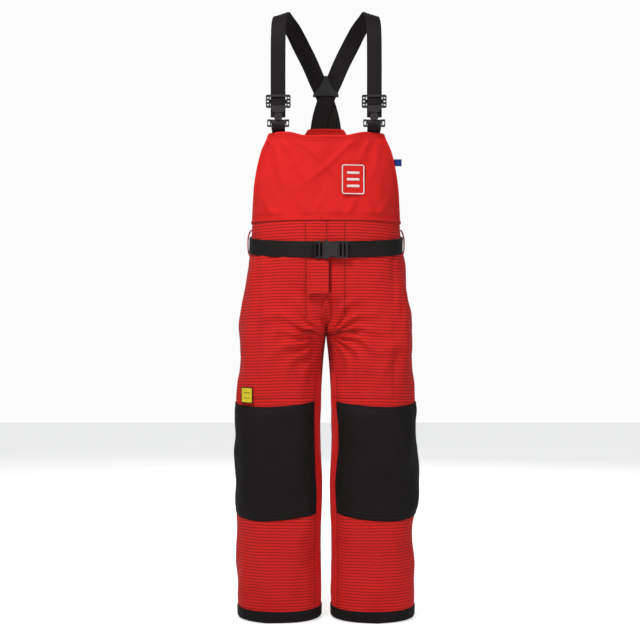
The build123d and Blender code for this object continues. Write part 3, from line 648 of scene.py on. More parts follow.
def shell_material(name, striped, seams=True):
    """Shell cloth: red weave, fine dark lines across it, and plain strips along the inseam."""
    settings = bpy.context.scene.pants_cloth
    material, nodes, links, shader = start_material(name, 0.82, 0.04, 0.16)
    uv = nodes.new("ShaderNodeUVMap")
    uv.uv_map = "cloth"
    weave = place_group(nodes, weave_group(), Threads=950.0)
    links.new(uv.outputs[0], weave.inputs["Vector"])
    wear = place_group(nodes, wear_group(), Scale=7.0, Amount=0.16)
    colour = scaled_colour(nodes, links, tuple(settings.shell_colour), wear.outputs["Shade"])
    height = weave.outputs["Height"]
    if striped:
        parts = nodes.new("ShaderNodeSeparateXYZ")
        links.new(uv.outputs[0], parts.inputs[0])
        turns = math_node(nodes, links, "DIVIDE", parts.outputs[1], settings.stripe_pitch)
        share = math_node(nodes, links, "FRACT", turns)
        line = band_mask(nodes, links, share, 0.5, 0.11, 0.11)
        colour = mixed(nodes, links, line, colour, tuple(settings.line_colour))
        height = math_node(nodes, links, "MULTIPLY_ADD", line, -0.5, height)
    if seams:
        seam = nodes.new("ShaderNodeUVMap")
        seam.uv_map = "seam"
        cut = nodes.new("ShaderNodeSeparateXYZ")
        links.new(seam.outputs[0], cut.inputs[0])
        strip = band_mask(nodes, links, cut.outputs[0], 0.0, GUSSET, 0.0006)
        low = math_node(nodes, links, "LESS_THAN", cut.outputs[1], GUSSET_TOP)
        strip = math_node(nodes, links, "MULTIPLY", strip, low)
        plain = scaled_colour(nodes, links, tuple(settings.shell_colour), wear.outputs["Shade"])
        colour = mixed(nodes, links, strip, colour, plain)
        edge = band_mask(nodes, links, cut.outputs[0], GUSSET, 0.0008, 0.0008)
        edge = math_node(nodes, links, "MULTIPLY", edge, low)
        faint = math_node(nodes, links, "MULTIPLY", edge, 0.5)
        colour = mixed(nodes, links, faint, colour, (0.16, 0.006, 0.006))
        height = math_node(nodes, links, "MULTIPLY_ADD", edge, -2.0, height)
    links.new(colour, shader.inputs["Base Color"])
    rough = math_node(nodes, links, "MULTIPLY_ADD", wear.outputs["Fleck"], 0.16, 0.72)
    links.new(rough, shader.inputs["Roughness"])
    bumped(nodes, links, shader, height, 0.00035)
    return material


def woven_material(name, colour, roughness, threads, depth, sheen=0.02, shade=0.25, stretch=1.0):
    """Plain coloured woven cloth or webbing with soft changes of shade."""
    material, nodes, links, shader = start_material(name, roughness, sheen, 0.14)
    uv = nodes.new("ShaderNodeUVMap")
    uv.uv_map = "cloth"
    scale = nodes.new("ShaderNodeMapping")
    scale.inputs["Scale"].default_value = (1.0, stretch, 1.0)
    links.new(uv.outputs[0], scale.inputs["Vector"])
    weave = place_group(nodes, weave_group(), Threads=threads)
    links.new(scale.outputs[0], weave.inputs["Vector"])
    wear = place_group(nodes, wear_group(), Scale=11.0, Amount=shade)
    lit = math_node(nodes, links, "MULTIPLY_ADD", weave.outputs["Height"], 0.35, 0.80)
    both = math_node(nodes, links, "MULTIPLY", lit, wear.outputs["Shade"])
    links.new(scaled_colour(nodes, links, colour, both), shader.inputs["Base Color"])
    rough = math_node(nodes, links, "MULTIPLY_ADD", wear.outputs["Fleck"], 0.2, roughness - 0.1)
    links.new(rough, shader.inputs["Roughness"])
    bumped(nodes, links, shader, weave.outputs["Height"], depth)
    return material


def moulded_material(name, colour, roughness, metallic=0.0):
    """Moulded plastic or cast metal: fine grain, soft shade and scuffs."""
    material, nodes, links, shader = start_material(name, roughness, 0.0, 0.28)
    shader.inputs["Metallic"].default_value = metallic
    wear = place_group(nodes, wear_group(), Scale=24.0, Amount=0.22)
    fleck = math_node(nodes, links, "MULTIPLY_ADD", wear.outputs["Fleck"], 0.25, 0.875)
    both = math_node(nodes, links, "MULTIPLY", fleck, wear.outputs["Shade"])
    links.new(scaled_colour(nodes, links, colour, both), shader.inputs["Base Color"])
    rough = math_node(nodes, links, "MULTIPLY_ADD", wear.outputs["Fleck"], 0.25, roughness - 0.12)
    links.new(rough, shader.inputs["Roughness"])
    bumped(nodes, links, shader, wear.outputs["Fleck"], 0.00012, 0.35)
    return material


MATERIALS = {}


def material_for(name):
    """Each finish is made once and kept by name."""
    if name in MATERIALS:
        return MATERIALS[name]
    black = tuple(bpy.context.scene.pants_cloth.black_colour)
    dark = tuple(bpy.context.scene.pants_webbing.webbing_colour)
    plastic = tuple(bpy.context.scene.pants_webbing.plastic_colour)
    makers = {
        "striped shell": lambda: shell_material("striped shell", True),
        "plain shell": lambda: shell_material("plain shell", False, False),
        "knee coating": lambda: woven_material("knee coating", black, 0.7, 620.0, 0.0004, 0.01),
        "webbing": lambda: woven_material("webbing", dark, 0.66, 420.0, 0.0007, 0.02, 0.3, 0.5),
        "buckle plastic": lambda: moulded_material("buckle plastic", plastic, 0.46),
        "patch": lambda: moulded_material("patch", (0.024, 0.023, 0.023), 0.7),
        "foam": lambda: moulded_material("foam", (0.05, 0.05, 0.055), 0.85),
        # painted seam shade: dark red strips that stand for the shade in seam grooves and under the waist
        # welt
        "painted seam shade": lambda: moulded_material("painted seam shade", (0.27, 0.0095, 0.0085), 0.9),
        "blue tab": lambda: woven_material("blue tab", (0.012, 0.045, 0.20), 0.8, 900.0, 0.0002),
        "thread": lambda: moulded_material("thread", (0.42, 0.012, 0.011), 0.8),
        "black thread": lambda: moulded_material("black thread", (0.028, 0.026, 0.025), 0.75),
        "pale edge": lambda: woven_material("pale edge", (0.72, 0.66, 0.64), 0.8, 700.0, 0.0003),
        "yellow": lambda: woven_material("yellow", (0.72, 0.60, 0.030), 0.75, 900.0, 0.0002),
        "dark edge": lambda: woven_material("dark edge", (0.018, 0.016, 0.012), 0.8, 700.0, 0.0003),
        "zip metal": lambda: moulded_material("zip metal", (0.55, 0.42, 0.20), 0.4, 1.0),
        "lining": lambda: woven_material("lining", (0.30, 0.010, 0.009), 0.9, 800.0, 0.0003),
    }
    MATERIALS[name] = makers[name]()
    return MATERIALS[name]


# ------------------------------------------------------------------ trousers

def rows_between(low, high):
    """Heights from high down to low in even steps of about the row pitch."""
    return np.linspace(high, low, int(round((high - low) / ROW_PITCH)) + 1)


def upper_rows():
    """Heights of the upper cloth: even steps, and steps even along the rise seam's curve."""
    above = rows_between(RISE_START, WAIST_Z + 0.001)
    turn = np.linspace(0, math.pi / 2, 40)[1:]
    rise = RISE_START - (RISE_START - CROTCH_Z) * np.sin(turn)
    below = rows_between(SPLIT_Z, CROTCH_Z)[1:]
    return np.concatenate([above, rise, below])


def cloth_piece(name, z_rows, side, columns=121):
    """One sheet of the striped cloth, sewn to itself along the inseam below the crotch."""
    u, z = np.meshgrid(np.linspace(0.0, 1.0, columns), z_rows)
    grid, _ = cloth_at(u, z, side)
    faces = grid_faces(*u.shape)
    if side < 0:
        faces = faces[:, ::-1]
    piece = new_mesh(name, grid, faces, maps=cloth_maps(grid, z))
    work = bmesh.new()
    work.from_mesh(piece.data)
    low = [v for v in work.verts if v.co.z < CROTCH_Z + 1e-5]
    bmesh.ops.remove_doubles(work, verts=low, dist=2e-5)
    work.to_mesh(piece.data)
    work.free()
    outward(piece, side)
    return thicken(piece, CLOTH_THICK)


def outward(piece, side, centre_x=LEG_X):
    """Flips the whole sheet if most of its faces look at the upright middle line of its tube."""
    mesh = piece.data
    count = len(mesh.polygons)
    centres = np.zeros(count * 3)
    normals = np.zeros(count * 3)
    mesh.polygons.foreach_get("center", centres)
    mesh.polygons.foreach_get("normal", normals)
    away = centres.reshape(-1, 3) - np.array([side * centre_x, 0.0, 0.0])
    away[:, 2] = 0.0
    if (away * normals.reshape(-1, 3)).sum() < 0:
        mesh.flip_normals()


def make_trousers():
    for name, side in SIDES:
        upper = cloth_piece("trouser_upper_" + name, upper_rows(), side)
        upper.data.materials.append(material_for("striped shell"))
        nodes = ("waist_front_", "waist_back_", "hip_sleeve_", "thigh_front_", "thigh_back_", "thigh_gusset_")
        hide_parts(*[node + name for node in nodes], *(["rise_strip"] if side > 0 else []))
        hip_blend(upper)
        lower = cloth_piece("trouser_lower_" + name, rows_between(HEM_TOP - 0.006, SPLIT_Z), side)
        lower.data.materials.append(material_for("striped shell"))
        nodes = ("shin_front_", "shin_back_", "shin_gusset_", "knee_sleeve_")
        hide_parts(*[node + name for node in nodes])
        knee_blend(lower)


def hip_blend(piece):
    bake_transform(piece)


def knee_blend(piece):
    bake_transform(piece)


class PANTS_OT_trousers(bpy.types.Operator):
    """Both halves of the striped trousers, from the waist seam to the hem"""

    bl_idname = "pants.trousers"
    bl_label = "Trousers"

    def execute(self, context):
        make_trousers()
        return {"FINISHED"}


# ------------------------------------------------------------------ knees and hems

def knee_panel_grid(side, columns=90, rows=70):
    """The knee panel's place on the leg: rows between two bowed edges, just off the cloth."""
    u_line = np.linspace(*PANEL_U, columns)
    bow = np.abs((u_line - PANEL_U[0]) / (PANEL_U[1] - PANEL_U[0]) * 2 - 1) ** 1.6
    low_edge = PANEL_LOW + 0.016 * bow
    high_edge = PANEL_HIGH + 0.012 * bow
    z = low_edge + (high_edge - low_edge) * np.linspace(1, 0, rows)[:, None]
    u = np.broadcast_to(u_line, z.shape)
    grid, _ = cloth_at(u, z, side, 0.0020)
    return grid, u, z


def make_knees():
    """Knee panels: a puffed middle inside a flat border with a groove, highest over the kneecap."""
    for name, side in SIDES:
        grid, u, z = knee_panel_grid(side)
        rows, columns = u.shape
        from_end = np.minimum(np.arange(rows), rows - 1 - np.arange(rows))[:, None]
        from_side = np.minimum(np.arange(columns), columns - 1 - np.arange(columns))
        edge = np.minimum(from_end * 4.0, from_side * 3.5)
        normal = facing_normals(grid, -1)
        puff = 0.0022 * smooth_step(0.0, 26.0, edge) + 0.0007 * smooth_step(0.0, 3.5, edge)
        groove = 0.0008 * ridge(edge - 9.0, 1.6)
        centre = ridge((z - 0.41) / 0.075, 1.0) * ridge((u - 0.27) / 0.10, 1.0)
        grid = grid + normal * (puff - groove + 0.004 * centre)[..., None]
        maps = {"cloth": np.stack([row_arc(grid), z], axis=-1)}
        panel = new_mesh("knee_panel_cloth_" + name, grid, grid_faces(rows, columns), maps=maps)
        outward(panel, side)
        thicken(panel, 0.0022)
        panel.data.materials.append(material_for("knee coating"))
        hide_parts("knee_panel_" + name)
        knee_blend(panel)
        make_knee_stitches(name, grid, normal)
        make_knee_pad(name, side)


def stitch_run(path, normals, length=0.0030, gap=0.0016, width=0.0007):
    """Stitches along a path: each is a short lozenge laid on the surface at even steps."""
    arc = path_arc(path)
    starts = np.arange(gap, arc[-1] - length, length + gap)

    def at(distance, values):
        return np.stack([np.interp(distance, arc, values[:, k]) for k in range(3)], axis=-1)

    first = at(starts, path)
    last = at(starts + length, path)
    up = unit(at(starts + length / 2, normals))
    along = last - first
    side = unit(np.cross(up, along))
    middle = (first + last) / 2
    rings = []
    for share, size in ((-0.5, 0.35), (-0.28, 1.0), (0.28, 1.0), (0.5, 0.35)):
        centre = middle + along * share
        half = width / 2 * size
        rings += [centre + side * half, centre + up * half, centre - side * half, centre - up * half]
    points = np.stack(rings, axis=1)
    tube = grid_faces(4, 4, wrap_columns=True)
    faces = np.concatenate([tube, [[3, 2, 1, 0]], [[12, 13, 14, 15]]])
    all_faces = (faces[None] + (np.arange(len(points)) * 16)[:, None, None]).reshape(-1, 4)
    return points.reshape(-1, 3), all_faces


def make_knee_stitches(name, grid, normal):
    """Two rows of stitches round the knee panel, on its own surface."""
    runs = []
    rows, columns = grid.shape[:2]
    for inset in (2, 4):
        down = slice(inset, rows - inset)
        across = slice(inset, columns - inset)
        for line in ((inset, across), (-1 - inset, across), (down, inset), (down, -1 - inset)):
            runs.append(stitch_run(grid[line] + normal[line] * 0.0001, normal[line]))
    piece = joined(runs, "knee_stitches_" + name)
    piece.data.materials.append(material_for("black thread"))
    knee_blend(piece)


def make_knee_pad(name, side):
    """The foam pad inside the knee: a crowned slab that follows the leg's front."""
    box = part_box("knee_pad_" + name)
    low_z, high_z = float(box[0][2]), float(box[1][2])
    u, z = np.meshgrid(np.linspace(*PAD_U, 36), np.linspace(high_z, low_z, 40))
    base = cloth_point(u, z, side)
    normal = facing_normals(base, -1)
    edge_u = np.minimum(u - PAD_U[0], PAD_U[1] - u) / 0.03
    edge_z = np.minimum(z - low_z, high_z - z) / 0.02
    near = np.clip(np.minimum(edge_u, edge_z), 0, 1)
    crown = 0.0042 * np.sqrt(near * (2 - near))
    outer = base - normal * (PAD_DEPTH - crown)[..., None]
    inner = base - normal * (PAD_DEPTH + crown)[..., None]
    rows, columns = u.shape
    points = np.concatenate([outer, inner[::-1]], axis=0)
    faces = grid_faces(rows * 2, columns, wrap_rows=True)
    pad = new_mesh("knee_pad_foam_" + name, points, faces)
    clean(pad, 1e-6)
    pad.data.materials.append(material_for("foam"))
    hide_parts("knee_pad_" + name)
    knee_blend(pad)


def hem_rise(u):
    """How much higher the hem sits at the sides than in front: a cosine twice round the leg."""
    return 0.0035 * (1 + np.cos(4 * math.pi * u)) / 2


def hem_normals(u, side):
    """Normals of the smooth body just above the hem; the first points at the other leg."""
    _, normal = cloth_at(u, np.full(len(u), 0.03), side, wrinkle=0.0)
    normal[0] = (-side, 0.0, 0.0)
    return normal


def make_hems():
    """Binding folded round the hem: its section goes down the inside and up the outside."""
    top_z = HEM_TOP + 0.0003
    section = (
        (-0.0040, top_z), (-0.0044, 0.020), (-0.0044, 0.008), (-0.0038, 0.0022), (-0.0026, 0.0005),
        (-0.0014, 0.0), (-0.0002, 0.0005), (0.0008, 0.0022), (0.0013, 0.008), (0.0014, 0.018),
        (0.0014, top_z - 0.001), (0.0008, top_z), (-0.0010, top_z),
    )
    columns = 160
    u = np.linspace(0, 1, columns, endpoint=False)
    for name, side in SIDES:
        out = hem_normals(u, side)
        rings = []
        for offset, z in section:
            ring = cloth_point(u, np.full(columns, z), side)
            ripple = 0.0004 * np.sin(u * 2 * math.pi * 23) * (offset > 0)
            front = ring[:, 1] < 0
            crest = 0.0050 * np.exp(-np.abs(np.abs(ring[:, 0]) - crease_x(side)) / 0.022) * front
            ring = ring + out * (offset + ripple + crest)[:, None]
            ring[:, 2] += hem_rise(u)
            rings.append(ring)
        grid = np.stack(rings)
        arc = np.tile(path_arc(grid[8]), (len(section), 1))
        maps = {"cloth": np.stack([arc, grid[..., 2]], axis=-1)}
        faces = grid_faces(len(section), columns, True, True)
        hem = new_mesh("hem_binding_cloth_" + name, grid, faces, maps=maps)
        clean(hem, 1e-6)
        finish_piece(hem, material_for("knee coating"), "shin_" + name)
        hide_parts("hem_binding_" + name)
        runs = []
        for z in (0.0215, 0.0245):
            ring = cloth_point(u, np.full(columns, z), side)
            ring[:, 2] += hem_rise(u)
            runs.append(stitch_run(np.roll(ring + out * 0.0017, 5, axis=0), out))
        stitches = joined(runs, "hem_stitches_" + name)
        finish_piece(stitches, material_for("black thread"), "shin_" + name)


class PANTS_OT_knees(bpy.types.Operator):
    """Knee panels, the foam pads behind them and the hem bindings"""

    bl_idname = "pants.knees"
    bl_label = "Knees and hems"

    def execute(self, context):
        make_knees()
        make_hems()
        return {"FINISHED"}


# ------------------------------------------------------------------ bib

ARM_KNOTS = (0.986, 1.035, 1.075, 1.115, 1.150, 1.175, 1.200)
ARM_X = (0.1825, 0.1790, 0.1745, 0.1665, 0.1560, 0.1440, 0.1345)
BACK_KNOTS = (0.986, 1.030, 1.075, 1.120, 1.160, 1.195, 1.230)
BACK_X = (0.1825, 0.1640, 0.1250, 0.0920, 0.0730, 0.0620, 0.0405)


def trunk_y(x, z, back=False, extra=0.0):
    """Depth of the trunk's oval, grown by extra, at x and z."""
    half = profile(TRUNK_KNOTS, TRUNK_WIDTH, z) + extra
    depth = profile(TRUNK_KNOTS, TRUNK_BACK if back else TRUNK_FRONT, z) + extra
    y = oval_y(x, half, depth, TRUNK_POWER)
    return y if back else -y


def bib_front_grid(rows=64, columns=110):
    """Front bib: x is a share of the armhole width at each height, and depth the trunk's oval."""
    a, v = np.meshgrid(np.linspace(-1, 1, columns), np.linspace(1, 0, rows))
    dip = 0.0095 * (1 - smooth_step(0.30, 0.72, np.abs(a))) + 0.002 * np.abs(a) ** 8
    top = BIB_TOP - 0.0005 - dip
    low = WAIST_Z - 0.003
    z = low + (top - low) * v
    x = a * profile(ARM_KNOTS, ARM_X, z)
    y = trunk_y(x, z, False, 0.0008)
    sag = np.zeros_like(x)
    for sign in (-1, 1):
        for reach, lean, size in (
            (0.0, 0.62, 1.2), (0.034, 1.15, 1.0), (-0.022, 0.28, 1.1), (0.012, 0.40, -0.7),
        ):
            across = (x - sign * (0.112 - reach)) + sign * lean * (1.178 - z) + 0.004 * np.sin(z * 60 + sign)
            fade = smooth_step(0.0, 0.03, 1.185 - z) * (1 - smooth_step(0.06, 0.18, 1.185 - z))
            sag += size * ridge(across, 0.010) * fade
        for x0, lean, size in ((0.060, 0.5, 0.9), (0.105, -0.4, 0.8), (0.140, 0.7, 0.9), (0.020, -0.6, 0.6)):
            across = (x - sign * x0) - sign * lean * (z - 1.01)
            sag += size * ridge(across, 0.009) * (1 - smooth_step(0.02, 0.085, z - 0.99))
    points = np.stack([x, y, z], axis=-1)
    noise = 0.60 * waves(points, 31, 0.22, 0.08, 20) + 0.15 * waves(points, 32, 0.06, 0.03, 16)
    hold = smooth_step(0.002, 0.020, z - low)
    y = y - 0.0036 * (sag + noise) * hold
    return np.stack([x, y, z], axis=-1), z


def bib_back_grid(rows=64, columns=90):
    """Back bib: it narrows with height to the crossed suspenders, on the trunk's oval."""
    a, v = np.meshgrid(np.linspace(-1, 1, columns), np.linspace(1, 0, rows))
    top = BACK_TOP - 0.001 - 0.0015 * a ** 2
    low = WAIST_Z - 0.002
    z = low + (top - low) * v
    x = a * profile(BACK_KNOTS, BACK_X, z)
    points = np.stack([x, trunk_y(x, z, True), z], axis=-1)
    noise = 0.6 * waves(points, 41, 0.22, 0.08, 20)
    points[..., 1] += 0.0028 * noise * smooth_step(0.0, 0.05, z - low)
    return points, z


def edge_path(grid):
    """The rim of a grid without its bottom: up one side, along the top and down the other."""
    return np.concatenate([grid[::-1, 0], grid[0, 1:-1], grid[:, -1]])


def binding_tube(path, normals, half_width, half_thick, sides=10):
    """A flat binding: an oval section carried along a path, wide across it and thin along the normals."""
    tangent = unit(np.gradient(path, axis=0))
    up = unit(normals - tangent * (normals * tangent).sum(axis=1, keepdims=True))
    side = np.cross(tangent, up)
    turn = np.linspace(0, 2 * math.pi, sides, endpoint=False)
    ring = side[:, None] * (half_width * np.cos(turn))[None, :, None]
    ring = ring + up[:, None] * (half_thick * np.sin(turn))[None, :, None]
    grid = closed_ends(path[:, None] + ring, path[0], path[-1])
    return grid, tube_map(np.linspace(0, 4 * half_width, sides), path_arc(path))


def tube_map(across, arc):
    """Cloth map of a tube with closed ends: metres across the band, and metres along it."""
    along = np.concatenate([arc[:1], arc, arc[-1:]])
    return np.stack(np.broadcast_arrays(across[None], along[:, None]), axis=-1)


def make_bib():
    """Both bibs: the cloth, the bound edge round its free sides and the stitches inside the edge."""
    backwards = slice(None, None, -1)
    for label, maker, facing in (("front", bib_front_grid, -1), ("back", bib_back_grid, 1)):
        grid, z = maker()
        rows, columns = z.shape
        maps = {"cloth": np.stack([row_arc(grid), z], axis=-1)}
        sheet = new_mesh("bib_%s_cloth" % label, grid, grid_faces(rows, columns), maps=maps)
        outward(sheet, 1.0, 0.0)
        thicken(sheet, CLOTH_THICK)
        finish_piece(sheet, material_for("plain shell"), "trunk")
        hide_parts("bib_" + label)
        normal = facing_normals(grid, facing)
        rim = edge_path(grid)
        rim_up = edge_path(normal)
        tube, uv = binding_tube(rim - rim_up * CLOTH_THICK / 2, rim_up, 0.0042, 0.0028)
        binding = tube_piece("bib_%s_binding" % label, tube, uv)
        finish_piece(binding, material_for("plain shell"), "trunk")
        runs = []
        for inset in (2, 3):
            top = (inset, slice(inset, columns - inset))
            low = (-2 - inset, slice(1, -1))
            for line in ((backwards, inset), top, (slice(None), -1 - inset), low):
                runs.append(stitch_run(grid[line] + normal[line] * 0.0002, normal[line]))
        stitches = joined(runs, "bib_%s_stitches" % label)
        finish_piece(stitches, material_for("thread"), "trunk")


class PANTS_OT_bib(bpy.types.Operator):
    """Front and back bib with bound edges and stitching"""

    bl_idname = "pants.bib"
    bl_label = "Bib"

    def execute(self, context):
        make_bib()
        return {"FINISHED"}


# ------------------------------------------------------------------ webbing

def strap_piece(name, stops, width, thick, widths=None):
    """Flat webbing: a slightly crowned section with round selvedges carried along a smooth path.

    stops are (place, width direction). The path and the directions are cubic Hermite curves of
    the distance along the stops; the section is |across| <= width/2 with a rounded edge.
    """
    places = np.array([s[0] for s in stops], float)
    sides = unit(np.array([s[1] for s in stops], float))
    knots = path_arc(places)
    count = max(int(knots[-1] / 0.004), 6)
    t = np.linspace(0, knots[-1], count)
    path = np.stack([profile(knots, places[:, k], t) for k in range(3)], axis=-1)
    side = np.stack([profile(knots, sides[:, k], t) for k in range(3)], axis=-1)
    tangent = unit(np.gradient(path, axis=0))
    side = unit(side - tangent * (side * tangent).sum(axis=1, keepdims=True))
    up = np.cross(side, tangent)
    across = np.array([-1, -0.985, -0.93, -0.8, -0.5, -0.2, 0.2, 0.5, 0.8, 0.93, 0.985, 1.0])
    high = np.array([0.0, 0.75, 1.05, 1.0, 1.0, 1.0, 1.0, 1.0, 1.0, 1.05, 0.75, 0.0]) * thick / 2
    loop_x = np.concatenate([across, across[-2:0:-1]]) * width / 2
    loop_y = np.concatenate([high, -high[-2:0:-1]])
    share = np.ones(count) if widths is None else profile(knots, widths, t)
    lines = side[:, None] * (share[:, None] * loop_x[None])[..., None]
    grid = closed_ends(path[:, None] + lines + up[:, None] * loop_y[None, :, None], path[0], path[-1])
    return tube_piece(name, grid, tube_map(loop_x, t))


def suspender_stops(side, layer):
    """Places along one suspender, from the chest over the shoulder to the other side of the back."""
    web_y = float(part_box("suspender_left")[0][1]) + 0.001
    low_z = float(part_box("suspender_left")[0][2])
    back_y = 0.114 + layer
    top = SHOULDER_TOP - 0.0105
    stops = [
        ((0.1165, web_y, 1.2270), (1, 0, 0)),
        ((0.1165, web_y, 1.2900), (1, 0, 0)),
        ((0.1165, web_y, 1.3700), (1, 0, 0)),
        ((0.1160, web_y + 0.002, top - 0.062), (1, 0, -0.02)),
        ((0.1150, web_y + 0.011, top - 0.032), (0.99, 0, -0.10)),
        ((0.1115, web_y + 0.033, top - 0.008), (0.95, 0, -0.26)),
        ((0.1065, web_y + 0.066, top + 0.001), (0.92, 0, -0.36)),
        ((0.0985, web_y + 0.107, top - 0.004), (0.90, 0, -0.41)),
        ((0.0840, web_y + 0.147, top - 0.018), (0.88, 0, -0.46)),
        ((0.0635, back_y - 0.028, top - 0.050), (0.88, 0, -0.47)),
        ((0.0405, back_y - 0.009, 1.3970), (0.90, 0, -0.43)),
        ((0.0230, back_y, 1.3577), (0.91, 0, -0.41)),
        ((0.0020, back_y, 1.3100), (0.92, 0, -0.38)),
        ((-0.0120, back_y, 1.2670), (0.97, 0, -0.25)),
        ((-0.0235, back_y - 0.0005, low_z), (0.97, 0, -0.23)),
    ]
    return [((side * p[0], p[1], p[2]), (side * d[0], d[1], d[2])) for p, d in stops]


def make_suspenders():
    """The suspenders, one crossed over the other behind, and the webbing loops on the bib's corners."""
    web = bpy.context.scene.pants_webbing
    for name, side in SIDES:
        layer = 0.0 if side > 0 else 0.003
        stops = suspender_stops(side, layer)
        widths = np.interp(np.arange(len(stops)), (0, 6, 9, len(stops) - 1), (1.0, 1.0, 1.22, 1.16))
        piece = strap_piece("suspender_web_" + name, stops, web.suspender_width, 0.0019, widths)
        finish_piece(piece, material_for("webbing"), "trunk")
        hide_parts("suspender_" + name)
        tab = strap_piece("bib_tab_web_" + name, bib_tab_stops(side), 0.0335, 0.0016)
        finish_piece(tab, material_for("webbing"), "trunk")
        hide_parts("bib_tab_" + name)


def bib_tab_stops(side):
    """The webbing loop round the catch bar, then down behind the corner of the bib, on its slant."""
    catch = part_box("strap_catch_left")
    y = float(catch[0][1])
    top = float(catch[0][2])
    stops = [
        ((STRAP_X, y + 0.0075, top + 0.004), (1, 0, 0)),
        ((STRAP_X, y + 0.0065, top + 0.011), (1, 0, 0)),
        ((STRAP_X, y + 0.0020, top + 0.009), (1, 0, 0)),
        ((STRAP_X, y + 0.0035, top - 0.001), (1, 0.12, 0)),
    ]
    for z in (1.1935, 1.180, 1.165, 1.150):
        edge_in, middle, edge_out = trunk_y(STRAP_X + np.array([-0.017, 0.0, 0.017]), z)
        stops.append(((STRAP_X, float(middle) + 0.0065, z), (1, float(edge_out - edge_in) / 0.034, 0)))
    return [((side * p[0], p[1], p[2]), (d[0], side * d[1], d[2])) for p, d in stops]


def trunk_ring(angle, z, extra):
    """x and y on the trunk's oval, grown by extra, at an angle about the upright axis."""
    power = 2.0 / TRUNK_POWER
    c, s = np.cos(angle), np.sin(angle)
    x = (profile(TRUNK_KNOTS, TRUNK_WIDTH, z) + extra) * np.sign(c) * np.abs(c) ** power
    y = (profile(TRUNK_KNOTS, TRUNK_FRONT, z) + extra) * np.sign(s) * np.abs(s) ** power
    return x, y


def belt_path(angle, extra):
    """A line round the trunk's oval grown by extra, on a plane that falls to the front."""
    z = np.full_like(angle, BELT_Z)
    for _ in range(3):
        x, y = trunk_ring(angle, z, extra)
        z = BELT_Z + BELT_FALL * y / BELT_REACH
    return np.stack([x, y, z], axis=-1)


def make_belt():
    """Three runs of webbing: round the back, and from each side to the buckle."""
    half = bpy.context.scene.pants_webbing.belt_width / 2
    section = (
        (half, 0.0), (half - 0.0006, 0.0009), (half - 0.003, 0.0012), (0.0, 0.0012),
        (-half + 0.003, 0.0012), (-half + 0.0006, 0.0009), (-half, 0.0),
        (-half + 0.0006, -0.0009), (0.0, -0.0009), (half - 0.0006, -0.0009),
    )
    across = np.array([half, half, half, 0.0, -half, -half, -half, -half, 0.0, half])
    for node, start, end, count in (
        ("belt_back", 0.0, math.pi, 90),
        ("belt_front_right", math.pi, math.pi * 1.5 - 0.030, 48),
        ("belt_front_left", math.pi * 1.5 + 0.045, math.pi * 2, 48),
    ):
        angle = np.linspace(start, end, count)
        outwards = np.stack([np.cos(angle), np.sin(angle), 0 * angle], axis=-1)
        rows = []
        for z, push in section:
            line = belt_path(angle, BELT_GAP + push)
            line[:, 2] += z
            rows.append(line + outwards * (0.0006 * np.sin(angle * 9.0 + z * 60.0))[:, None])
        grid = np.stack(rows, axis=1)
        grid = closed_ends(grid, grid[0].mean(axis=0), grid[-1].mean(axis=0))
        arc = path_arc(belt_path(angle, BELT_GAP))
        belt = tube_piece(node + "_web", grid, tube_map(across, arc))
        finish_piece(belt, material_for("webbing"), "trunk")
        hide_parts(node)


def loop_piece(name, centre, out, along, height, reach):
    """A belt loop: a flat band that leaves the cloth, arches over the belt and returns."""
    width, thick = 0.020, 0.0026
    s = np.linspace(-1, 1, 41)
    arch = reach * (1 - np.abs(s) ** 3.2)
    line = centre + out * arch[:, None] + np.array([0, 0, 1.0]) * (s * height / 2)[:, None]
    turn = np.linspace(0, 2 * math.pi, 16, endpoint=False)
    side = np.sign(np.cos(turn)) * np.abs(np.cos(turn)) ** 0.3 * width / 2
    up = np.sign(np.sin(turn)) * np.abs(np.sin(turn)) ** 0.7 * thick / 2
    normal = unit(np.cross(along, unit(np.gradient(line, axis=0))))
    grid = line[:, None] + along * side[None, :, None] + normal[:, None] * up[None, :, None]
    grid = closed_ends(grid, line[0], line[-1])
    uv = np.stack(np.broadcast_arrays(side[None], np.linspace(0, height * 1.2, 43)[:, None]), axis=-1)
    piece = tube_piece(name, grid, uv)
    return finish_piece(piece, material_for("plain shell"), "trunk")


def make_belt_loops():
    """A loop at each side and one behind, each as high as its node in the frame."""
    half = float(profile(TRUNK_KNOTS, TRUNK_WIDTH, 0.925)) - 0.001
    depth = float(profile(TRUNK_KNOTS, TRUNK_BACK, 0.94)) - 0.001
    for name, out, foot, reach in (
        ("left", (1.0, 0.0, 0.0), half, 0.0088),
        ("right", (-1.0, 0.0, 0.0), half, 0.0088),
        ("back", (0.0, 1.0, 0.0), depth, 0.0085),
    ):
        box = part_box("belt_loop_" + name)
        low, high = float(box[0][2]), float(box[1][2])
        out = np.array(out)
        along = np.abs(out[[1, 0, 2]])
        centre = out * foot + np.array([0.0, 0.0, (low + high) / 2])
        piece = loop_piece("belt_loop_cloth_" + name, centre, out, along, high - low - 0.004, reach)
        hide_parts("belt_loop_" + name)


class PANTS_OT_webbing(bpy.types.Operator):
    """Suspenders, belt, belt loops and the loops on the bib's corners"""

    bl_idname = "pants.webbing"
    bl_label = "Webbing"

    def execute(self, context):
        make_suspenders()
        make_belt()
        make_belt_loops()
        return {"FINISHED"}


# ------------------------------------------------------------------ sewn details

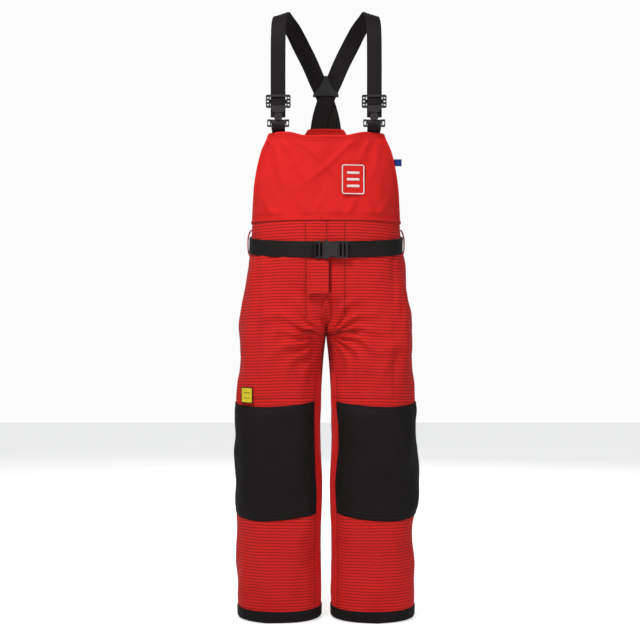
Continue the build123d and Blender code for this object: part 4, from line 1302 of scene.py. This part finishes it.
def front_sheet(name, x_range, z_range, lift, columns, rows, thick=0.0014):
    """A sheet laid on the trunk's front: the oval's depth plus lift(x share, z share)."""
    a, v = np.meshgrid(np.linspace(0, 1, columns), np.linspace(1, 0, rows))
    x = x_range[0] + (x_range[1] - x_range[0]) * a
    z = z_range[0] + (z_range[1] - z_range[0]) * v
    y = trunk_y(x, z) - lift(a, v)
    grid = np.stack([x, y, z], axis=-1)
    maps = {"cloth": np.stack([x + 0.3, z], axis=-1), "seam": grid[..., (1, 2)]}
    piece = new_mesh(name, grid, grid_faces(rows, columns), maps=maps)
    outward(piece, 1.0, 0.0)
    return thicken(piece, thick)


def ring_path(across, up, radius, centre, place, count=10):
    """A closed rounded rectangle carried onto a surface by place(x, z), with its outward normals."""
    outline = round_box(across, up, radius, count)
    outline = np.concatenate([outline, outline[:1]])
    points = place(centre[0] + outline[:, 0], centre[1] + outline[:, 1])
    step = 1e-3
    dx = place(centre[0] + outline[:, 0] + step, centre[1] + outline[:, 1]) - points
    dz = place(centre[0] + outline[:, 0], centre[1] + outline[:, 1] + step) - points
    return points, unit(np.cross(dx, dz))


def on_front(lift):
    """Points on the front of the trunk, lifted off it."""
    return lambda x, z: np.stack([x, trunk_y(x, z) - lift, z], axis=-1)


def raised_band(name, path, normal, half_width, half_thick, material, slot, body="trunk"):
    """A flat band of one finish, laid along a path on a surface."""
    piece = tube_piece(name, *binding_tube(path, normal, half_width, half_thick))
    return finish_piece(piece, material_for(material), body)


def make_badge():
    """A woven patch with a pale edge and three plain bars."""
    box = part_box("chest_badge")
    x0, x1 = float(box[0][0]) + 0.002, float(box[1][0]) - 0.002
    z0, z1 = float(box[0][2]) + 0.002, float(box[1][2]) - 0.002
    centre = ((x0 + x1) / 2, (z0 + z1) / 2)
    patch = front_sheet("badge_patch", (x0, x1), (z0, z1), lambda a, v: 0.0056 + 0 * a, 30, 36)
    finish_piece(patch, material_for("plain shell"), "trunk")
    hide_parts("chest_badge")
    path, normal = ring_path(x1 - x0 - 0.001, z1 - z0 - 0.001, 0.004, centre, on_front(0.0060))
    raised_band("badge_edge", path, normal, 0.0014, 0.0008, "pale edge", "badge_cloth")
    for index, z in enumerate((centre[1] + 0.016, centre[1], centre[1] - 0.016)):
        x = np.linspace(centre[0] - 0.015, centre[0] + 0.015, 24)
        path = on_front(0.0060)(x, np.full(24, z))
        normal = np.tile((0.15, -1.0, 0.0), (24, 1))
        name = "badge_bar_%d" % (index + 1)
        raised_band(name, path, normal, 0.0030, 0.0007, "pale edge", "badge_cloth")


def leg_plate(side, x_range, z_range, extra, columns=24, rows=30):
    """Points and normals of a small sheet on the front of a leg."""
    x, z = np.meshgrid(np.linspace(*x_range, columns), np.linspace(*z_range[::-1], rows))
    grid = cloth_point(leg_u(x, z), z, side)
    normal = facing_normals(grid, -1)
    return grid + normal * extra, normal


def closed_rim(grid):
    """The whole rim of a grid, back to its first point."""
    return np.concatenate([grid[0, :-1], grid[:-1, -1], grid[-1, :0:-1], grid[:0:-1, 0], grid[:1, 0]])


def make_label():
    """A yellow label with a dark edge and two plain bars on the wearer's right thigh."""
    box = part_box("size_label")
    x0, x1 = -float(box[1][0]) + 0.001, -float(box[0][0]) - 0.001
    z0, z1 = float(box[0][2]) + 0.001, float(box[1][2]) - 0.001
    grid, normal = leg_plate(-1.0, (x0, x1), (z0, z1), 0.0050)
    rows, columns = grid.shape[:2]
    uv = np.stack(np.meshgrid(np.linspace(0, 0.028, columns), np.linspace(0.039, 0, rows)), axis=-1)
    label = new_mesh("label_patch", grid, grid_faces(rows, columns), maps={"cloth": uv})
    outward(label, -1.0)
    thicken(label, 0.0012)
    finish_piece(label, material_for("yellow"), "thigh_right")
    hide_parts("size_label")
    finish = ("dark edge", "label_cloth", "thigh_right")
    raised_band("label_edge", closed_rim(grid), closed_rim(normal), 0.0012, 0.0009, *finish)
    for index, row in enumerate((rows // 3, 2 * rows // 3)):
        raised_band("label_bar_%d" % (index + 1), grid[row, 5:-5], normal[row, 5:-5], 0.0007, 0.0004, *finish)


def make_fly():
    """The fly: a striped flap free along one edge, the zip tape behind it and the seams beside it."""
    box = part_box("fly_placket")
    x0, x1 = float(box[0][0]), float(box[1][0])
    z0, z1 = float(box[0][2]), float(box[1][2])

    def flap(a, v):
        raised = smooth_step(0.0, 0.30, a) * smooth_step(0.0, 0.07, v)
        return 0.0030 + 0.0060 * raised + 0.0003 * np.sin(9 * v + 3 * a)

    piece = front_sheet("fly_flap", (x0, x1), (z0 - 0.007, z1), flap, 40, 56, 0.0015)
    finish_piece(piece, material_for("striped shell"), "trunk")
    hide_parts("fly_placket")
    tape_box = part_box("zip_tape")
    tape_x = (float(tape_box[0][0]), float(tape_box[1][0]))
    tape = front_sheet("zip_tape_web", tape_x, (z0, z1), lambda a, v: 0.0010 + 0 * a, 16, 40, 0.0008)
    finish_piece(tape, material_for("lining"), "trunk")
    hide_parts("zip_tape")
    teeth = []
    for index, z in enumerate(np.arange(z0 + 0.004, z1 - 0.004, 0.0032)):
        offset = 0.0011 if index % 2 else -0.0011
        depth = float(trunk_y(np.array([0.0]), np.array([z]))[0]) - 0.0011

        def place(across, up, out, offset=offset, z=z, depth=depth):
            return np.stack([across + offset, depth - out, up + z], axis=-1)

        teeth.append(rounded_slab(round_box(0.0030, 0.0018, 0.0005, 3), 0.0, 0.0008, 0.0002, place))
    row = joined(teeth, "zip_teeth")
    finish_piece(row, material_for("zip metal"), "trunk")
    seam_line("fly_stitch_inner", x0 + 0.006, z0 + 0.004, z1, 0.0092)
    cloth_seam("seam_front_centre", 0.001, 0.728, 0.982)
    cloth_seam("seam_front_right", -0.0495, 0.742, 0.982)
    cloth_seam("seam_front_left", 0.0440, 0.742, 0.982)


def seam_line(name, x, low, high, lift):
    """An upright row of stitches, lifted off the trunk's front."""
    z = np.linspace(high, low, 60)
    path = on_front(lift)(np.full(60, x), z)
    points, faces = stitch_run(path, np.tile((0.0, -1.0, 0.0), (60, 1)))
    piece = new_mesh(name, points, faces)
    clean(piece, 1e-7)
    finish_piece(piece, material_for("thread"), "trunk")


def cloth_seam(name, x, low, high):
    """A sewn line down the front of the trousers: a narrow fold coloured dark as painted shade of the seam's
    groove, with stitches beside it.
    """
    name_side, side = SIDES[0] if x > 0 else SIDES[1]
    z = np.linspace(high, low, 90)
    path, _ = cloth_at(leg_u(abs(x), z), z, side, 0.0004)
    normal = np.tile((0.0, -1.0, 0.0), (90, 1))
    fold = tube_piece(name, *binding_tube(path, normal, 0.0009, 0.0006, 6))
    points, faces = stitch_run(path + np.array([0.0045 * side, -0.0002, 0.0]), normal)
    stitches = new_mesh(name + "_stitches", points, faces)
    clean(stitches, 1e-7)
    for piece, finish in ((fold, "painted seam shade"), (stitches, "thread")):
        piece.data.materials.append(material_for(finish))
        hip_blend(piece)


def make_waist_seam():
    """The seam between trousers and bib: a narrow welt round the trunk with a row of stitches, and a dark
    strip under the welt as its painted shadow.
    """
    angle = np.linspace(0, 2 * math.pi, 241)
    z = np.full_like(angle, WAIST_Z - 0.0045)
    path = np.stack([*trunk_ring(angle, z, 0.0016), z], axis=-1)
    normal = np.stack([np.cos(angle), np.sin(angle), 0 * angle], axis=-1)
    raised_band("waist_welt", path, normal, 0.0030, 0.0012, "plain shell", "plain_cloth")
    # A dark strip just below the welt: painted shadow of the welt.
    shade = path - np.array([0, 0, 0.0034])
    raised_band("waist_painted_shadow", shade, normal, 0.0007, 0.0009, "painted seam shade", "shell_cloth")
    stitches = joined([stitch_run(path + normal * 0.0012, normal)], "waist_stitches")
    finish_piece(stitches, material_for("thread"), "trunk")


def make_side_tab():
    """A small folded tab sewn into the side of the bib: a flat band out, round a fold and back."""
    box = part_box("side_tab")
    low, high = np.array(box[0], float), np.array(box[1], float)
    middle = (low[2] + high[2]) / 2
    y = (low[1] + high[1]) / 2
    turn = np.linspace(-0.5 * math.pi, 0.5 * math.pi, 9)
    fold = [(high[0] - 0.0012 + 0.0010 * math.cos(t), y + 0.0010 * math.sin(t), middle) for t in turn]
    places = [(low[0] - 0.004, y - 0.0006, middle), (low[0] + 0.006, y - 0.0010, middle), *fold,
              (low[0] + 0.006, y + 0.0010, middle), (low[0] - 0.004, y + 0.0006, middle)]
    stops = [(place, (0, 0, 1)) for place in places]
    piece = strap_piece("side_tab_fold", stops, high[2] - low[2], 0.0008)
    finish_piece(piece, material_for("blue tab"), "trunk")
    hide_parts("side_tab")


def make_belt_fold():
    """The belt's end folded round the ladder bar: a flat band carried round a long loop."""
    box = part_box("belt_fold")
    low, high = np.array(box[0], float), np.array(box[1], float)
    middle = (low[2] + high[2]) / 2
    turn = np.linspace(0.25 * math.pi, 1.75 * math.pi, 40)
    centre = np.array([(low[0] + high[0]) / 2, (low[1] + high[1]) / 2])
    half = (high[:2] - low[:2]) / 2 - 0.0009
    line = centre - half * np.stack([np.cos(turn), np.sin(turn)], axis=1)
    stops = [((x, y, middle), (0, 0, 1)) for x, y in line]
    piece = strap_piece("belt_fold_web", stops, high[2] - low[2], 0.0015)
    finish_piece(piece, material_for("webbing"), "buckle_tongue")
    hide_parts("belt_fold")


class PANTS_OT_details(bpy.types.Operator):
    """Fly, waist seam, chest patch, label, side tab and the folded belt end"""

    bl_idname = "pants.details"
    bl_label = "Sewn details"

    def execute(self, context):
        make_fly()
        make_waist_seam()
        make_badge()
        make_label()
        make_side_tab()
        make_belt_fold()
        return {"FINISHED"}


# ------------------------------------------------------------------ buckles and patches

def make_crosspatches():
    """The two delta patches: straight ends and hollow flanks, rounded off at both faces."""
    for node in ("crosspatch_inner", "crosspatch_outer"):
        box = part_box(node)
        low = np.array(box[0], float)
        high = np.array(box[1], float)
        s = np.linspace(0, 1, 22)
        half_low = (high[0] - low[0]) / 2 - 0.001
        half_top = 0.0035
        flank = half_top + (half_low - half_top) * (0.55 * s + 0.45 * s ** 2.6)
        flank_z = high[2] - 0.006 - (high[2] - low[2] - 0.016) * s
        right = np.stack([flank, flank_z], axis=1)
        foot_x = np.linspace(half_low, -half_low, 20)
        foot = np.stack([foot_x, low[2] + 0.006 - 0.003 * (foot_x / half_low) ** 2], axis=1)
        left = np.stack([-flank[::-1], flank_z[::-1]], axis=1)
        top_x = np.linspace(-half_top, half_top, 6)[1:-1]
        top = np.stack([top_x, np.full(4, high[2] - 0.005)], axis=1)
        outline = np.concatenate([right, foot, left, top])[::-1]
        points, faces = rounded_slab(outline, low[1], high[1], 0.0007, upright)
        piece = new_mesh(node + "_shaped", points, faces)
        clean(piece, 1e-7)
        finish_piece(piece, material_for("patch"), "trunk")
        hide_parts(node)


def upright(across, up, depth):
    """Points of a plate that stands upright and faces the back."""
    return np.stack([across, depth, up], axis=-1)


def dress_frame_nodes():
    """Better materials on the nodes whose shape is kept from the frame."""
    moulded = ["buckle_housing", "buckle_tongue", "buckle_prong_upper", "buckle_prong_lower"]
    for name, _ in SIDES:
        moulded += ["strap_adjuster_" + name, "release_tab_" + name, "strap_catch_" + name]
    finishes = {node: "buckle plastic" for node in moulded}
    finishes["zip_slider"] = "zip metal"
    for node, finish in finishes.items():
        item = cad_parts[node]
        for slot in item.material_slots:
            slot.material = material_for(finish)
        if not item.material_slots:
            item.data.materials.append(material_for(finish))


class PANTS_OT_buckles(bpy.types.Operator):
    """The two crosspatches, and the finishes of the buckles and the zip slider"""

    bl_idname = "pants.buckles"
    bl_label = "Buckles and patches"

    def execute(self, context):
        make_crosspatches()
        dress_frame_nodes()
        return {"FINISHED"}


# ------------------------------------------------------------------ stage

def area_light(name, place, aim, size, power):
    lamp = bpy.data.lights.new(name, "AREA")
    lamp.energy = power
    lamp.size = size
    item = bpy.data.objects.new(name, lamp)
    direction = np.array(aim) - np.array(place)
    item.location = place
    item.rotation_euler = aim_angles(direction)
    bpy.context.scene.collection.objects.link(item)


def aim_angles(direction):
    """Turns that point an object's -Z along a direction with its Y kept upwards."""
    length = math.hypot(direction[0], direction[1])
    return (math.atan2(length, -direction[2]), 0.0, math.atan2(-direction[0], direction[1]))


def make_stage():
    """A pale floor, a white world with a soft light of its own, three lamps and the camera."""
    floor_points = [(-6, -6, -0.0012), (6, -6, -0.0012), (6, 6, -0.0012), (-6, 6, -0.0012)]
    floor = new_mesh("floor", floor_points, [[0, 1, 2, 3]], smooth=False)
    material, nodes, links, shader = start_material("floor", 0.9, 0.0, 0.2)
    shader.inputs["Base Color"].default_value = (0.80, 0.80, 0.80, 1.0)
    ray = nodes.new("ShaderNodeLightPath")
    shader.inputs["Emission Color"].default_value = (1.0, 1.0, 1.0, 1.0)
    glow = math_node(nodes, links, "MULTIPLY", ray.outputs["Is Camera Ray"], 0.58)
    links.new(glow, shader.inputs["Emission Strength"])
    floor.data.materials.append(material)
    world = bpy.data.worlds.new("studio")
    world.use_nodes = True
    nodes, links = world.node_tree.nodes, world.node_tree.links
    shown = nodes["Background"]
    shown.inputs[0].default_value = (0.97, 0.97, 0.97, 1.0)
    soft = nodes.new("ShaderNodeBackground")
    soft.inputs[0].default_value = (0.95, 0.97, 1.0, 1.0)
    soft.inputs[1].default_value = 0.27
    ray = nodes.new("ShaderNodeLightPath")
    mix = nodes.new("ShaderNodeMixShader")
    links.new(ray.outputs["Is Camera Ray"], mix.inputs[0])
    links.new(soft.outputs[0], mix.inputs[1])
    links.new(shown.outputs[0], mix.inputs[2])
    links.new(mix.outputs[0], nodes["World Output"].inputs[0])
    bpy.context.scene.world = world
    bpy.context.scene.view_settings.view_transform = "Standard"
    area_light("key", (-1.1, -2.0, 3.0), (0, 0, 0.75), 0.9, 76.0)
    area_light("fill", (2.0, -2.6, 0.7), (0, 0, 0.6), 1.8, 26.0)
    area_light("back", (0.4, 2.6, 2.2), (0, 0, 0.9), 1.6, 46.0)
    camera = bpy.data.cameras.new("camera")
    camera.lens = 72.0
    camera.sensor_width = 36.0
    item = bpy.data.objects.new("camera", camera)
    item.location = (-0.015, -3.2, 0.737)
    item.rotation_euler = (math.pi / 2, 0.0, 0.0)
    bpy.context.scene.collection.objects.link(item)
    bpy.context.scene.camera = item


class PANTS_OT_stage(bpy.types.Operator):
    """Floor, soft studio light and the camera"""

    bl_idname = "pants.stage"
    bl_label = "Stage"

    def execute(self, context):
        make_stage()
        return {"FINISHED"}


# ------------------------------------------------------------------ panel and start

OPERATORS = (
    PANTS_OT_stage, PANTS_OT_trousers, PANTS_OT_knees, PANTS_OT_bib,
    PANTS_OT_webbing, PANTS_OT_details, PANTS_OT_buckles,
)


class PANTS_PT_sidebar(bpy.types.Panel):
    """Lists the settings and the steps that build the bunker pants"""

    bl_label = "Bunker Pants"
    bl_idname = "PANTS_PT_sidebar"
    bl_space_type = "VIEW_3D"
    bl_region_type = "UI"
    bl_category = "Bunker Pants"

    def draw(self, context):
        for group in (context.scene.pants_cloth, context.scene.pants_webbing):
            for name in group.__annotations__:
                self.layout.prop(group, name)
        for operator in OPERATORS:
            self.layout.operator(operator.bl_idname)


CLASSES = (PantsCloth, PantsWebbing, *OPERATORS, PANTS_PT_sidebar)


def register():
    for item in CLASSES:
        bpy.utils.register_class(item)
    bpy.types.Scene.pants_cloth = PointerProperty(type=PantsCloth)
    bpy.types.Scene.pants_webbing = PointerProperty(type=PantsWebbing)


def unregister():
    del bpy.types.Scene.pants_webbing
    del bpy.types.Scene.pants_cloth
    for item in reversed(CLASSES):
        bpy.utils.unregister_class(item)


def plain(box):
    return [[float(number) for number in corner] for corner in box]


def main():
    register()
    for name in ("stage", "trousers", "knees", "bib", "webbing", "details", "buckles"):
        getattr(bpy.ops.pants, name)()


if __name__ == "__main__":
    main()
